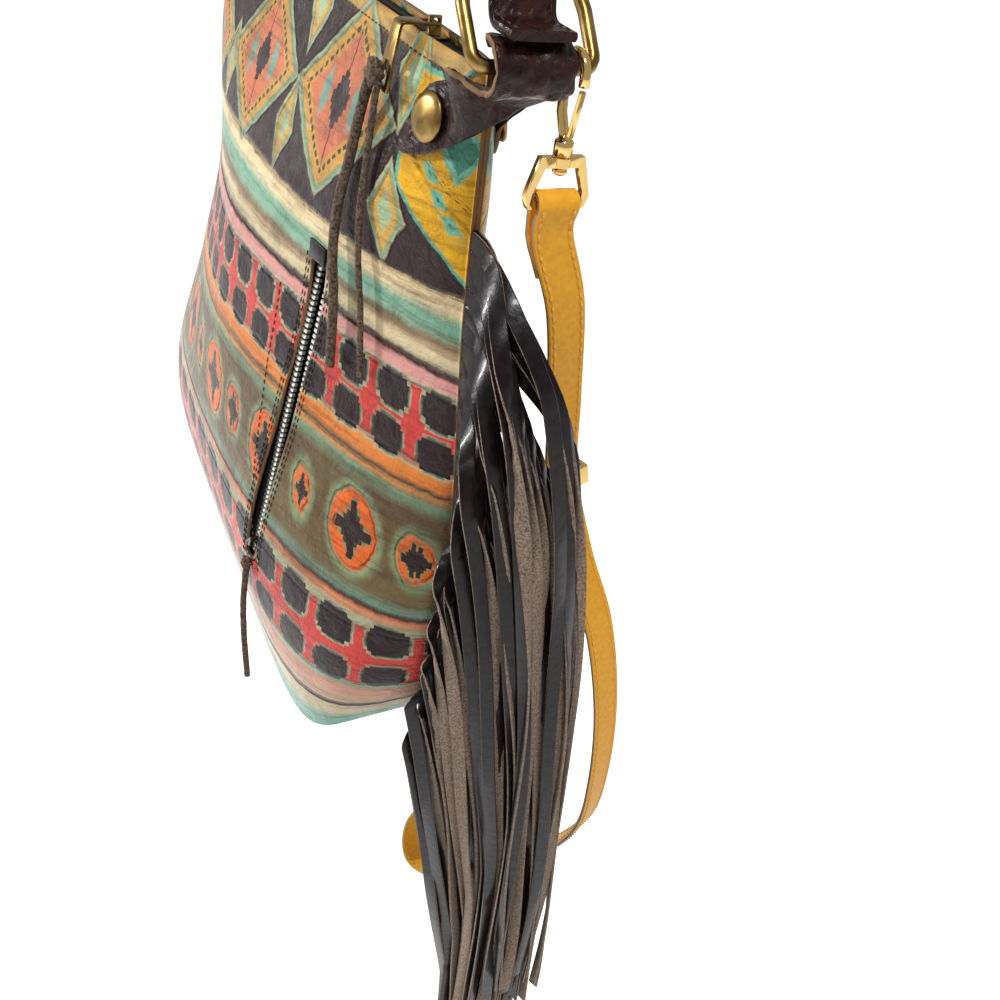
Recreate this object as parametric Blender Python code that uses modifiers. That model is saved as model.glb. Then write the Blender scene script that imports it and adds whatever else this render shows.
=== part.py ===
"""Crossbody bag: a leather pouch with two zips, saddle tabs, rings, a handle, a fringe and a clip-on strap."""

import math

import bmesh
import bpy
from mathutils import Matrix, Vector

# General clearances and leather
CLEAR = 0.0003
LEATHER = 0.0016

# Pouch: its outside, at five levels from the top edge to the base
BAG_HEIGHT = 0.338
HALF_WIDTH_TOP = 0.169
HALF_WIDTH_UPPER = 0.171
HALF_WIDTH_MIDDLE = 0.182
HALF_WIDTH_LOWER = 0.187
HALF_WIDTH_BASE = 0.168
HALF_DEPTH_TOP = 0.0065
HALF_DEPTH_UPPER = 0.037
HALF_DEPTH_MIDDLE = 0.0565
HALF_DEPTH_LOWER = 0.066
HALF_DEPTH_BASE = 0.050
# How full the section is at those levels: one power rounds the face, the other its turn at the seam
FACE_POWERS = (8.0, 2.2, 1.7, 3.0, 5.5)
TURN_POWERS = (0.50, 0.75, 0.65, 0.41, 0.16)
CORNER_RISE = 0.040
SEAM_GAP = 0.0003
COLUMNS = 28
ROWS = 16
BASE_ROWS = 3

# Top zip
TAPE = 0.0008
TOP_ZIP_HALF_LENGTH = 0.148
TOP_TAPE_DEPTH = 0.0030
TOP_TAPE_MARGIN = 0.0006
TEETH_GAP = 0.0014
TOP_SLIDER_X = 0.119
TOP_SLIDER_TRAVEL = 0.258
TOP_SLIDER_WIDTH = 0.0076
TOP_FIN_HEIGHT = 0.0066
TOP_STATIONS = 14

# Front zip
FRONT_ZIP_X = 0.090
FRONT_ZIP_TOP = 0.098
FRONT_ZIP_BOTTOM = 0.252
SLOT_WIDTH = 0.012
ROW_GAP = 0.0066
TAPE_REACH = 0.0122
TAPE_OVERLAP = 0.005
TOOTH_PITCH = 0.0030
TOOTH_LENGTH = 0.0014
POCKET_DEPTH = 0.0060
POCKET_WALL = 0.0006
FRONT_SLIDER_WIDTH = 0.0102
FRONT_FIN_HEIGHT = 0.0066
FRONT_SLIDER_REST = 0.147
FRONT_SLIDER_TRAVEL = 0.138
PATCH_WIDTH = 0.013
PATCH_HEIGHT = 0.008
PATCH_THICKNESS = 0.0012

# Sliders and pulls
SLIDER_LENGTH = 0.009
SLIDER_PLATE = 0.0009
FIN_WIDTH = 0.0016
FIN_LENGTH = 0.0048
FIN_HOLE_RADIUS = 0.0014
FIN_HOLE_DROP = 0.0022
TOP_PULL_WIDTH = 0.0075
TOP_PULL_TIP_WIDTH = 0.0116
TOP_PULL_THICKNESS = 0.0011
TOP_PULL_REACH = 0.0135
TOP_PULL_DROP = 0.0235
TOP_PULL_SPLAY = 12.0
PULL_BAR = 0.0013
PULL_WINDOW_WIDTH = 0.0044
PULL_WINDOW_LENGTH = 0.0042
PULL_SLOT_WIDTH = 0.0052
PULL_SLOT_LENGTH = 0.0085
PULL_RING_RADIUS = 0.0048
PULL_RING_ROD = 0.0008

# Laces
LONG_LACE_DIAMETER = 0.0040
LONG_LACE_END = 0.133
SHORT_LACE_DIAMETER = 0.0026
SHORT_LACE_END = 0.129
FRONT_LACE_DIAMETER = 0.0032
FRONT_LACE_LENGTH = 0.078
LACE_STANDOFF = 0.0020

# Tabs, rivets and rings; the bar of each ring lies in its tab's roll
TAB_LEATHER = 0.0018
TAB_ROLL_HALF_LENGTH = 0.0135
TAB_ROLL_RADIUS = 0.0080
TAB_STANDOFF = 0.0007
BAR_X = 0.190
BAR_Z = 0.006
TAB_LIFT_X = 0.1580
TAB_FREE_X = 0.1680
RIVET_X = 0.150
RIVET_Z = -0.021
RIVET_CAP_RADIUS = 0.0085
RIVET_CAP_HEIGHT = 0.0026
RIVET_SHANK_RADIUS = 0.0016
RIVET_BURR_RADIUS = 0.0036
RIVET_BURR_THICKNESS = 0.0010
RIVET_SLACK = 0.0006
RING_ROD_RADIUS = 0.0023
RING_OFFSET_Y = 0.0035
RING_HALF_WIDTH = 0.0205
RING_HEIGHT = 0.036
RING_CORNER = 0.0042
RING_LEAN = 40.0

# Handle
HANDLE_RISE = 0.095
HANDLE_WIDTH = 0.022
HANDLE_THICKNESS = 0.0032
HANDLE_SEGMENTS = 24

# Fringe in the right side seam
STRANDS = 36
STRAND_PITCH = 0.0068
STRAND_WIDTH = 0.0050
STRAND_THICKNESS = 0.0013
STRAND_LENGTH = 0.460
STRAND_LAYER = 0.00085
FRINGE_TOP = 0.056
FRINGE_STANDOFF = 0.0085
FRINGE_SPREAD = 0.018
FRINGE_SWING = 0.080
FRINGE_SWING_DEPTH = 0.250
FRINGE_LEAN = 0.012
FRINGE_GATHER = 0.65
HEADER_INSET = 0.009
HEADER_OUTSET = 0.0015
GOLDEN = 0.6180340

# Snap hooks and the loops that they swivel in
HOOK_Y = 0.0175
HOOK_ROD_RADIUS = 0.0018
HOOK_HALF_WIDTH = 0.0060
BOSS_RADIUS = 0.0032
BOSS_TOP = -0.0150
BOSS_BOTTOM = -0.0202
NECK_RADIUS = 0.0015
HEAD_RADIUS = 0.0026
HEAD_HEIGHT = 0.0020
GATE_RADIUS = 0.0011
GATE_FOOT = (0.0030, -0.0134)
GATE_TIP = (0.0061, 0.0008)
LOOP_TOP_HALF_WIDTH = 0.0060
LOOP_HALF_WIDTH = 0.0090
LOOP_ROD = 0.0030
LOOP_TOP_BAR = 0.0036
LOOP_EYE_RADIUS = 0.0031
LOOP_BAR_Z = -0.0360

# Strap
STRAP_WIDTH = 0.0155
STRAP_THICKNESS = 0.0022
STRAP_FOLD = 0.026
STRAP_SEGMENTS = 84
ADJUSTER_AT = 0.170
ADJUSTER_LENGTH = 0.009
ADJUSTER_WALL = 0.0022
ADJUSTER_PLAY = 0.0008

for leftover in list(bpy.data.objects):
    bpy.data.objects.remove(leftover, do_unlink=True)

parts = bpy.data.collections.new("crossbody_bag")
cutters = bpy.data.collections.new("cutters")
bpy.context.scene.collection.children.link(parts)
bpy.context.scene.collection.children.link(cutters)

# The bag's own frame: its top edge is at z 0 there, and the handle's underside is at z 0 of the world
bag_frame = bpy.data.objects.new("bag_frame", None)
bag_frame.location = (0.0, 0.0, -HANDLE_RISE)
parts.objects.link(bag_frame)


def make_material(name, colour, roughness, metallic=0.0):
    """A Principled material with one colour."""
    material = bpy.data.materials.new(name)
    material.use_nodes = True
    shader = material.node_tree.nodes["Principled BSDF"]
    shader.inputs["Base Color"].default_value = (*colour, 1.0)
    shader.inputs["Roughness"].default_value = roughness
    shader.inputs["Metallic"].default_value = metallic
    material.diffuse_color = (*colour, 1.0)
    return material


PAINTED_LEATHER = make_material("painted_leather", (0.30, 0.12, 0.07), 0.45)
DARK_LEATHER = make_material("dark_leather", (0.03, 0.02, 0.02), 0.40)
YELLOW_LEATHER = make_material("yellow_leather", (0.75, 0.36, 0.01), 0.55)
SUEDE_LACE = make_material("suede_lace", (0.07, 0.05, 0.035), 0.95)
BLACK_CLOTH = make_material("black_cloth", (0.01, 0.01, 0.01), 0.95)
NICKEL = make_material("nickel", (0.65, 0.63, 0.58), 0.25, 1.0)
ANTIQUE_BRASS = make_material("antique_brass", (0.35, 0.24, 0.10), 0.35, 1.0)
GOLD_PLATE = make_material("gold_plate", (0.80, 0.58, 0.25), 0.15, 1.0)


def add_object(name, mesh, material, parent=None, group=None):
    """Puts a mesh in the model, as a child of the bag's frame unless another parent is given."""
    obj = bpy.data.objects.new(name, mesh)
    (group or parts).objects.link(obj)
    obj.parent = parent or bag_frame
    if material:
        mesh.materials.append(material)
    return obj


def mesh_from(builder):
    """Runs a builder on a fresh bmesh and returns the mesh with its normals pointing out."""
    bm = bmesh.new()
    builder(bm)
    bmesh.ops.recalc_face_normals(bm, faces=bm.faces)
    mesh = bpy.data.meshes.new("mesh")
    bm.to_mesh(mesh)
    bm.free()
    return mesh


def thicken(obj, thickness, offset=0.0, even=False):
    """Gives an open surface its wall; offset -1 grows it inwards, 0 both ways."""
    wall = obj.modifiers.new("wall", "SOLIDIFY")
    wall.thickness = thickness
    wall.offset = offset
    wall.use_even_offset = even
    return wall


def cut(obj, cutter, name="cut"):
    """Cuts one object with another."""
    modifier = obj.modifiers.new(name, "BOOLEAN")
    modifier.operation = "DIFFERENCE"
    modifier.solver = "EXACT"
    modifier.object = cutter


def join(obj, other):
    """Adds another object's solid to this one, and keeps the other as a hidden guide."""
    modifier = obj.modifiers.new("join", "BOOLEAN")
    modifier.operation = "UNION"
    modifier.solver = "EXACT"
    modifier.object = other


def as_cutter(obj):
    """Hides a cutter or guide and leaves it out of the render."""
    obj.hide_render = True
    obj.display_type = "WIRE"
    return obj


def box_mesh(size, centre=(0.0, 0.0, 0.0)):
    """A box of the given size."""

    def build(bm):
        scale = Matrix.Diagonal((*size, 1.0))
        bmesh.ops.create_cube(bm, size=1.0, matrix=Matrix.Translation(centre) @ scale)

    return mesh_from(build)


def rod_mesh(radius, length, sides=20, matrix=None):
    """A cylinder along its own Z, centred on the matrix's origin."""

    def build(bm):
        bmesh.ops.create_cone(
            bm,
            cap_ends=True,
            segments=sides,
            radius1=radius,
            radius2=radius,
            depth=length,
            matrix=matrix or Matrix.Identity(4),
        )

    return mesh_from(build)


def sheet_mesh(rows, closed=False, flip=False):
    """An open surface through rows of points that all have the same count."""
    bm = bmesh.new()
    verts = [[bm.verts.new(p) for p in row] for row in rows]
    for upper, lower in zip(verts, verts[1:]):
        count = len(upper)
        for i in range(count if closed else count - 1):
            j = (i + 1) % count
            corners = (upper[i], upper[j], lower[j], lower[i])
            bm.faces.new(reversed(corners) if flip else corners)
    bmesh.ops.remove_doubles(bm, verts=bm.verts, dist=0.00001)
    mesh = bpy.data.meshes.new("sheet")
    bm.to_mesh(mesh)
    bm.free()
    return mesh


def prism_mesh(outline, low, high, matrix=None):
    """A flat outline of (x, y) made a solid between two heights."""

    def build(bm):
        face = bm.faces.new([bm.verts.new((x, y, low)) for x, y in outline])
        grown = bmesh.ops.extrude_face_region(bm, geom=[face])
        moved = [v for v in grown["geom"] if isinstance(v, bmesh.types.BMVert)]
        bmesh.ops.translate(bm, vec=(0.0, 0.0, high - low), verts=moved)
        bmesh.ops.transform(bm, matrix=matrix or Matrix.Identity(4), verts=bm.verts)

    return mesh_from(build)


def turned_mesh(profile, sides=24, matrix=None):
    """A turned solid from a profile of (radius, height) that starts and ends on the axis."""

    def build(bm):
        verts = [bm.verts.new((r, 0.0, h)) for r, h in profile]
        edges = [bm.edges.new(pair) for pair in zip(verts, verts[1:])]
        bmesh.ops.spin(
            bm,
            geom=verts + edges,
            cent=(0, 0, 0),
            axis=(0, 0, 1),
            angle=math.tau,
            steps=sides,
            use_merge=True,
        )
        bmesh.ops.remove_doubles(bm, verts=bm.verts, dist=0.00001)
        bmesh.ops.transform(bm, matrix=matrix or Matrix.Identity(4), verts=bm.verts)

    return mesh_from(build)


def smooth_line(points, count):
    """Points evenly spaced in parameter along a smooth curve through the given ones."""
    line = []
    spans = len(points) - 1
    for i in range(count + 1):
        at = i / count * spans
        k = min(int(at), spans - 1)
        t = at - k
        p1 = Vector(points[k])
        p2 = Vector(points[k + 1])
        p0 = Vector(points[k - 1]) if k > 0 else 2 * p1 - p2
        p3 = Vector(points[k + 2]) if k + 2 <= spans else 2 * p2 - p1
        line.append(
            0.5 * (2 * p1 + (p2 - p0) * t + (2 * p0 - 5 * p1 + 4 * p2 - p3) * t * t + (3 * p1 - p0 - 3 * p2 + p3) * t**3)
        )
    return line


def tube(name, points, radius, material, sides_step=2, cyclic=False, parent=None, group=None):
    """A round rod or cord along a line of points."""
    curve = bpy.data.curves.new(name, "CURVE")
    curve.dimensions = "3D"
    curve.bevel_depth = radius
    curve.bevel_resolution = sides_step
    curve.use_fill_caps = not cyclic
    spline = curve.splines.new("POLY")
    spline.points.add(len(points) - 1)
    for point, place in zip(spline.points, points):
        point.co = (*place, 1.0)
    spline.use_cyclic_u = cyclic
    if material:
        curve.materials.append(material)
    obj = bpy.data.objects.new(name, curve)
    (group or parts).objects.link(obj)
    obj.parent = parent or bag_frame
    return obj


def tube_mesh_object(name, points, radius, material, sides_step=2, cyclic=False, parent=None, group=None):
    """The same rod made a mesh with its caps welded, for a Boolean."""
    source = tube(name, points, radius, None, sides_step, cyclic, parent, group)
    bpy.context.view_layer.update()
    evaluated = source.evaluated_get(bpy.context.evaluated_depsgraph_get())
    mesh = bpy.data.meshes.new_from_object(evaluated)
    bm = bmesh.new()
    bm.from_mesh(mesh)
    bmesh.ops.remove_doubles(bm, verts=bm.verts, dist=0.00001)
    bmesh.ops.recalc_face_normals(bm, faces=bm.faces)
    bm.to_mesh(mesh)
    bm.free()
    bpy.data.objects.remove(source, do_unlink=True)
    return add_object(name, mesh, material, parent, group)


def arc(centre, radius, start, end, steps, x_dir, z_dir):
    """Points on an arc; angles in degrees from x_dir towards z_dir."""
    points = []
    for i in range(steps + 1):
        angle = math.radians(start + (end - start) * i / steps)
        points.append(
            Vector(centre) + radius * (math.cos(angle) * Vector(x_dir) + math.sin(angle) * Vector(z_dir))
        )
    return points


# The pouch's section at each level


def level_value(levels, s):
    """A smooth value between evenly spaced levels, s from 0 at the top edge to 1 at the base."""
    last = len(levels) - 1
    at = min(max(s, 0.0), 1.0) * last
    k = min(int(at), last - 1)
    t = at - k
    before = levels[k - 1] if k > 0 else levels[k]
    after = levels[k + 2] if k + 2 <= last else levels[k + 1]
    slope_in = (levels[k + 1] - before) / (2 if k > 0 else 1)
    slope_out = (after - levels[k]) / (2 if k + 2 <= last else 1)
    return (
        (2 * t**3 - 3 * t**2 + 1) * levels[k]
        + (t**3 - 2 * t**2 + t) * slope_in
        + (3 * t**2 - 2 * t**3) * levels[k + 1]
        + (t**3 - t**2) * slope_out
    )


HALF_WIDTHS = (HALF_WIDTH_TOP, HALF_WIDTH_UPPER, HALF_WIDTH_MIDDLE, HALF_WIDTH_LOWER, HALF_WIDTH_BASE)
HALF_DEPTHS = (HALF_DEPTH_TOP, HALF_DEPTH_UPPER, HALF_DEPTH_MIDDLE, HALF_DEPTH_LOWER, HALF_DEPTH_BASE)
SEAM_EDGE = LEATHER + SEAM_GAP / 2


def half_width(s):
    """Half the pouch's width at a level."""
    return level_value(HALF_WIDTHS, s)


def half_depth(s):
    """Half the pouch's depth at a level."""
    return level_value(HALF_DEPTHS, s)


def depth_share(c, s):
    """The section's depth at c, from -1 to 1 across the width, as a share of the half depth."""
    share = max(1.0 - abs(c) ** level_value(FACE_POWERS, s), 0.0)
    return share ** level_value(TURN_POWERS, s)


def panel_point(c, s, side):
    """A point of a panel's outside; side is -1 on the front and 1 on the back."""
    lift = CORNER_RISE * max((s - 0.6) / 0.4, 0.0) ** 2 * abs(c) ** 6
    depth = max(half_depth(s) * depth_share(c, s), SEAM_EDGE)
    return Vector((half_width(s) * c, side * depth, -BAG_HEIGHT * s + lift))


def front_y(x, z):
    """The front panel's outside at a place above the boxed base."""
    s = -z / BAG_HEIGHT
    c = min(abs(x) / half_width(max(s, 0.0)), 1.0)
    return -max(half_depth(max(s, 0.0)) * depth_share(c, max(s, 0.0)), SEAM_EDGE)


def front_normal(x, z, side=-1):
    """The way out of the front panel, or of the back panel, at a place."""
    step = 0.002
    across = Vector((2 * step, side * (front_y(x - step, z) - front_y(x + step, z)), 0.0))
    down = Vector((0.0, side * (front_y(x, z + step) - front_y(x, z - step)), -2 * step))
    out = across.cross(down).normalized()
    return out if out.y * side > 0 else -out


def panel(name, side):
    """One leather half of the pouch, from its top edge to the bottom seam."""
    angles = [math.pi * i / COLUMNS for i in range(COLUMNS + 1)]
    rows = [[panel_point(math.cos(a), k / ROWS, side) for a in angles] for k in range(ROWS + 1)]
    edge = rows[-1]
    for k in range(1, BASE_ROWS + 1):
        left = 1 - k / BASE_ROWS
        rows.append([Vector((p.x, side * (SEAM_GAP / 2 + (abs(p.y) - SEAM_GAP / 2) * left), p.z)) for p in edge])
    half = add_object(name, sheet_mesh(rows, flip=side > 0), PAINTED_LEATHER)
    thicken(half, LEATHER, -1.0)
    return half


front_panel = panel("front_panel", -1)
back_panel = panel("back_panel", 1)

# The slot that the fringe's header is sewn in
HEADER_LENGTH = (STRANDS - 1) * STRAND_PITCH + STRAND_WIDTH
HEADER_TOP = -(FRINGE_TOP - STRAND_WIDTH / 2)
header_size = (0.06, STRAND_THICKNESS + 2 * CLEAR, HEADER_LENGTH + 2 * CLEAR)
header_slot = as_cutter(add_object("header_slot", box_mesh(header_size), None, group=cutters))
header_slot.location = (HALF_WIDTH_UPPER + 0.02, 0.0, HEADER_TOP - HEADER_LENGTH / 2)
cut(front_panel, header_slot, "header")
cut(back_panel, header_slot, "header")

# Front zip: a frame on the panel, x across the zip, y into the bag and z up the zip

zip_top = Vector((FRONT_ZIP_X, front_y(FRONT_ZIP_X, -FRONT_ZIP_TOP), -FRONT_ZIP_TOP))
zip_bottom = Vector((FRONT_ZIP_X, front_y(FRONT_ZIP_X, -FRONT_ZIP_BOTTOM), -FRONT_ZIP_BOTTOM))
zip_length = (zip_top - zip_bottom).length
zip_up = (zip_top - zip_bottom).normalized()
zip_middle = -(FRONT_ZIP_TOP + FRONT_ZIP_BOTTOM) / 2
zip_out = front_normal(FRONT_ZIP_X, zip_middle)
zip_across = (-zip_out).cross(zip_up).normalized()
zip_in = zip_up.cross(zip_across).normalized()
zip_axes = Matrix((zip_across, zip_in, zip_up)).transposed()
zip_lowest = 0.0
for i in range(13):
    for k in range(-4, 5):
        place = zip_top - zip_up * zip_length * i / 12 + zip_across * TAPE_REACH * k / 4
        place.y = front_y(place.x, place.z)
        zip_lowest = max(zip_lowest, (place - zip_top).dot(zip_in))
TAPE_FACE = zip_lowest + LEATHER + 3 * CLEAR

front_zip = bpy.data.objects.new("front_zip_line", None)
zip_matrix = Matrix.Translation(zip_top) @ zip_axes.to_4x4()
front_zip.matrix_local = zip_matrix
front_zip.parent = bag_frame
parts.objects.link(front_zip)

slot = as_cutter(add_object("zip_slot", box_mesh((SLOT_WIDTH, 0.03, zip_length)), None, front_zip, cutters))
slot.location = (0.0, 0.0, -zip_length / 2)
cut(front_panel, slot, "zip")


def teeth_outline(side, low, high):
    """One tape of the front zip with its row of teeth, as (x, z)."""
    root = side * (ROW_GAP / 2 + TOOTH_LENGTH)
    outline = [(side * TAPE_REACH, low), (root, low)]
    z = low + TOOTH_PITCH
    while z + TOOTH_PITCH < high:
        tip = side * ROW_GAP / 2
        outline += [(root, z), (tip, z), (tip, z + TOOTH_PITCH / 2), (root, z + TOOTH_PITCH / 2)]
        z += TOOTH_PITCH
    return outline + [(root, high), (side * TAPE_REACH, high)]


STAND_UP = Matrix(((1, 0, 0, 0), (0, 0, 1, 0), (0, 1, 0, 0), (0, 0, 0, 1)))
for side, label in ((-1, "left"), (1, "right")):
    outline = teeth_outline(side, -zip_length - TAPE_OVERLAP, TAPE_OVERLAP)
    mesh = prism_mesh(outline, 0.0, TAPE, STAND_UP)
    tape = add_object(f"front_zip_tape_{label}", mesh, BLACK_CLOTH, front_zip)
    tape.location.y = TAPE_FACE

pocket_half = TAPE_REACH - POCKET_WALL
pocket_low = -zip_length - TAPE_OVERLAP + POCKET_WALL
pocket_high = TAPE_OVERLAP - POCKET_WALL
pocket_rim = TAPE_FACE + TAPE + CLEAR
corners = [(-pocket_half, pocket_low), (pocket_half, pocket_low), (pocket_half, pocket_high), (-pocket_half, pocket_high)]
rim = [Vector((x, pocket_rim, z)) for x, z in corners]
floor = [Vector((x, pocket_rim + POCKET_DEPTH, z)) for x, z in corners]


def build_pocket(bm):
    """The pocket's walls and floor, open towards the zip."""
    outer = [bm.verts.new(p) for p in rim]
    inner = [bm.verts.new(p) for p in floor]
    for i in range(4):
        j = (i + 1) % 4
        bm.faces.new((outer[i], outer[j], inner[j], inner[i]))
    bm.faces.new(inner)


front_pocket = add_object("front_pocket_bag", mesh_from(build_pocket), BLACK_CLOTH, front_zip)
thicken(front_pocket, POCKET_WALL, 0.0, even=True)

patch = add_object(
    "front_zip_end_patch", box_mesh((PATCH_WIDTH, PATCH_THICKNESS, PATCH_HEIGHT)), DARK_LEATHER
)
patch_z = -FRONT_ZIP_TOP + PATCH_HEIGHT / 2 + CLEAR
patch_normal = front_normal(FRONT_ZIP_X, patch_z)
patch_place = Vector((FRONT_ZIP_X, front_y(FRONT_ZIP_X, patch_z), patch_z))
patch_up = (zip_up - zip_up.dot(patch_normal) * patch_normal).normalized()
patch_across = (-patch_normal).cross(patch_up).normalized()
patch.matrix_local = (
    Matrix.Translation(patch_place + patch_normal * (PATCH_THICKNESS / 2 + CLEAR))
    @ Matrix((patch_across, -patch_normal, patch_up)).transposed().to_4x4()
)


def slider(name, parent, width, web, fin_height, fin_across=False):
    """A zip slider: two plates, the web between the teeth and a fin with a hole; y points into the bag."""
    face = -CLEAR
    back = TAPE + CLEAR
    outline = [
        (-width / 2, face - SLIDER_PLATE),
        (width / 2, face - SLIDER_PLATE),
        (width / 2, face),
        (web / 2, face),
        (web / 2, back),
        (width / 2, back),
        (width / 2, back + SLIDER_PLATE),
        (-width / 2, back + SLIDER_PLATE),
        (-width / 2, back),
        (-web / 2, back),
        (-web / 2, face),
        (-width / 2, face),
    ]
    body = add_object(name, prism_mesh(outline, -SLIDER_LENGTH / 2, SLIDER_LENGTH / 2), NICKEL, parent)
    fin_base = face - SLIDER_PLATE + 0.0002
    fin_size = (FIN_LENGTH, fin_height, FIN_WIDTH) if fin_across else (FIN_WIDTH, fin_height, FIN_LENGTH)
    fin_mesh = box_mesh(fin_size, (0.0, fin_base - fin_height / 2, 0.0))
    fin = as_cutter(add_object(f"{name}_fin", fin_mesh, None, body, cutters))
    hole_y = fin_base - fin_height + FIN_HOLE_DROP
    turn = Matrix.Translation((0.0, hole_y, 0.0))
    if not fin_across:
        turn = turn @ Matrix.Rotation(math.pi / 2, 4, "Y")
    hole_mesh = rod_mesh(FIN_HOLE_RADIUS, 0.02, 16, turn)
    hole = as_cutter(add_object(f"{name}_hole", hole_mesh, None, body, cutters))
    join(body, fin)
    cut(body, hole, "hole")
    return body, hole_y


front_web = ROW_GAP - 4 * CLEAR
front_slider, front_hole_y = slider("front_zip_slider", front_zip, FRONT_SLIDER_WIDTH, front_web, FRONT_FIN_HEIGHT)
front_slider.location = (0.0, TAPE_FACE, -FRONT_SLIDER_REST)
ring_line = arc((0, 0, -PULL_RING_RADIUS), PULL_RING_RADIUS, 90, 450 - 360 / 28, 27, (1, 0, 0), (0, 0, 1))
front_pull = tube("front_zip_pull", ring_line, PULL_RING_ROD, NICKEL, 1, True, front_slider)
front_pull.location = (0.0, front_hole_y, 0.0)

# Top zip: its tapes close the mouth between the panels


def mouth_half(x):
    """Half the room between the panels' inner faces at the top edge."""
    return -front_y(x, -TOP_TAPE_DEPTH) - LEATHER - TOP_TAPE_MARGIN


stations = [TOP_ZIP_HALF_LENGTH * (2 * i / TOP_STATIONS - 1) for i in range(TOP_STATIONS + 1)]
for side, label in ((-1, "front"), (1, "back")):
    outline = [(x, side * TEETH_GAP / 2) for x in stations]
    outline += [(x, side * mouth_half(x)) for x in reversed(stations)]
    low = -TOP_TAPE_DEPTH - TAPE
    add_object(f"top_zip_tape_{label}", prism_mesh(outline, low, -TOP_TAPE_DEPTH), BLACK_CLOTH)

top_zip = bpy.data.objects.new("top_zip_line", None)
top_axes = Matrix(((0, 0, -1), (1, 0, 0), (0, -1, 0)))
top_zip.matrix_local = Matrix.Translation((TOP_SLIDER_X, 0.0, -TOP_TAPE_DEPTH)) @ top_axes.to_4x4()
top_zip.parent = bag_frame
parts.objects.link(top_zip)
top_web = TEETH_GAP - 2 * CLEAR
top_slider, top_hole_y = slider("top_zip_slider", top_zip, TOP_SLIDER_WIDTH, top_web, TOP_FIN_HEIGHT, True)

# The top pull: a bent plate whose bar turns in the fin's hole, so that it hangs over the front edge
splay = math.radians(TOP_PULL_SPLAY)
slot_end = TOP_PULL_DROP - 0.0018
pull_rows = (
    (-PULL_BAR / 2, TOP_PULL_WIDTH, PULL_WINDOW_WIDTH, True),
    (PULL_BAR / 2, TOP_PULL_WIDTH, PULL_WINDOW_WIDTH, False),
    (PULL_BAR / 2 + PULL_WINDOW_LENGTH, TOP_PULL_WIDTH, PULL_WINDOW_WIDTH, True),
    (TOP_PULL_REACH - 0.0016, TOP_PULL_WIDTH, PULL_WINDOW_WIDTH, True),
    (TOP_PULL_REACH, TOP_PULL_WIDTH, PULL_SLOT_WIDTH, True),
    (TOP_PULL_REACH + 0.0016, TOP_PULL_WIDTH, PULL_SLOT_WIDTH, True),
    (TOP_PULL_REACH + slot_end - PULL_SLOT_LENGTH, TOP_PULL_WIDTH + 0.0016, PULL_SLOT_WIDTH * 0.7, False),
    (TOP_PULL_REACH + slot_end - PULL_SLOT_LENGTH / 2, TOP_PULL_TIP_WIDTH - 0.0010, PULL_SLOT_WIDTH, False),
    (TOP_PULL_REACH + slot_end, TOP_PULL_TIP_WIDTH, PULL_SLOT_WIDTH, True),
    (TOP_PULL_REACH + TOP_PULL_DROP, TOP_PULL_TIP_WIDTH - 0.0012, PULL_SLOT_WIDTH, True),
)


def pull_place(reach):
    """The pull's middle line, out over the front edge and then down along the panel."""
    down = max(reach - TOP_PULL_REACH, 0.0)
    return Vector((0.0, -min(reach, TOP_PULL_REACH) - down * math.sin(splay), -down * math.cos(splay)))


def build_top_pull(bm):
    """The flat plate with the window round the fin and the slot for the laces."""
    rows = []
    for reach, width, hole_width, _ in pull_rows:
        place = pull_place(reach)
        if reach == TOP_PULL_REACH:
            place += Vector((0.0, 0.0003, -0.0003))
        rows.append([bm.verts.new(place + Vector((x, 0, 0))) for x in (-width / 2, -hole_width / 2, hole_width / 2, width / 2)])
    for (upper, lower), (_, _, _, whole) in zip(zip(rows, rows[1:]), pull_rows):
        for i in (0, 1, 2) if whole else (0, 2):
            bm.faces.new((upper[i], upper[i + 1], lower[i + 1], lower[i]))


top_pull = add_object("top_zip_pull", mesh_from(build_top_pull), NICKEL, top_slider)
thicken(top_pull, TOP_PULL_THICKNESS, 0.0)
top_pull.matrix_local = Matrix.Translation((0.0, top_hole_y, 0.0)) @ top_axes.inverted().to_4x4()

# Laces: cords that hang from the pulls and lie just off the front panel
pull_origin = Vector((TOP_SLIDER_X, 0.0, -TOP_TAPE_DEPTH - top_hole_y))
leg_out = Vector((0.0, -math.cos(splay), math.sin(splay)))


def lace_line(start_x, hold, radius, xs, end):
    """A lace's middle line from its knot on the pull down along the panel."""
    off = leg_out * (TOP_PULL_THICKNESS / 2 + CLEAR + radius)
    first = pull_origin + pull_place(TOP_PULL_REACH + hold) + off
    second = pull_origin + pull_place(TOP_PULL_REACH + TOP_PULL_DROP + 0.001) + off * 1.15
    first.x = start_x
    second.x = (start_x + xs[0]) / 2
    line = [first, second]
    for k, x in enumerate(xs):
        z = -0.042 - (end - 0.042) * k / (len(xs) - 1)
        line.append(Vector((x, front_y(x, z) - radius - LACE_STANDOFF, z)))
    return smooth_line(line, 16)


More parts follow.
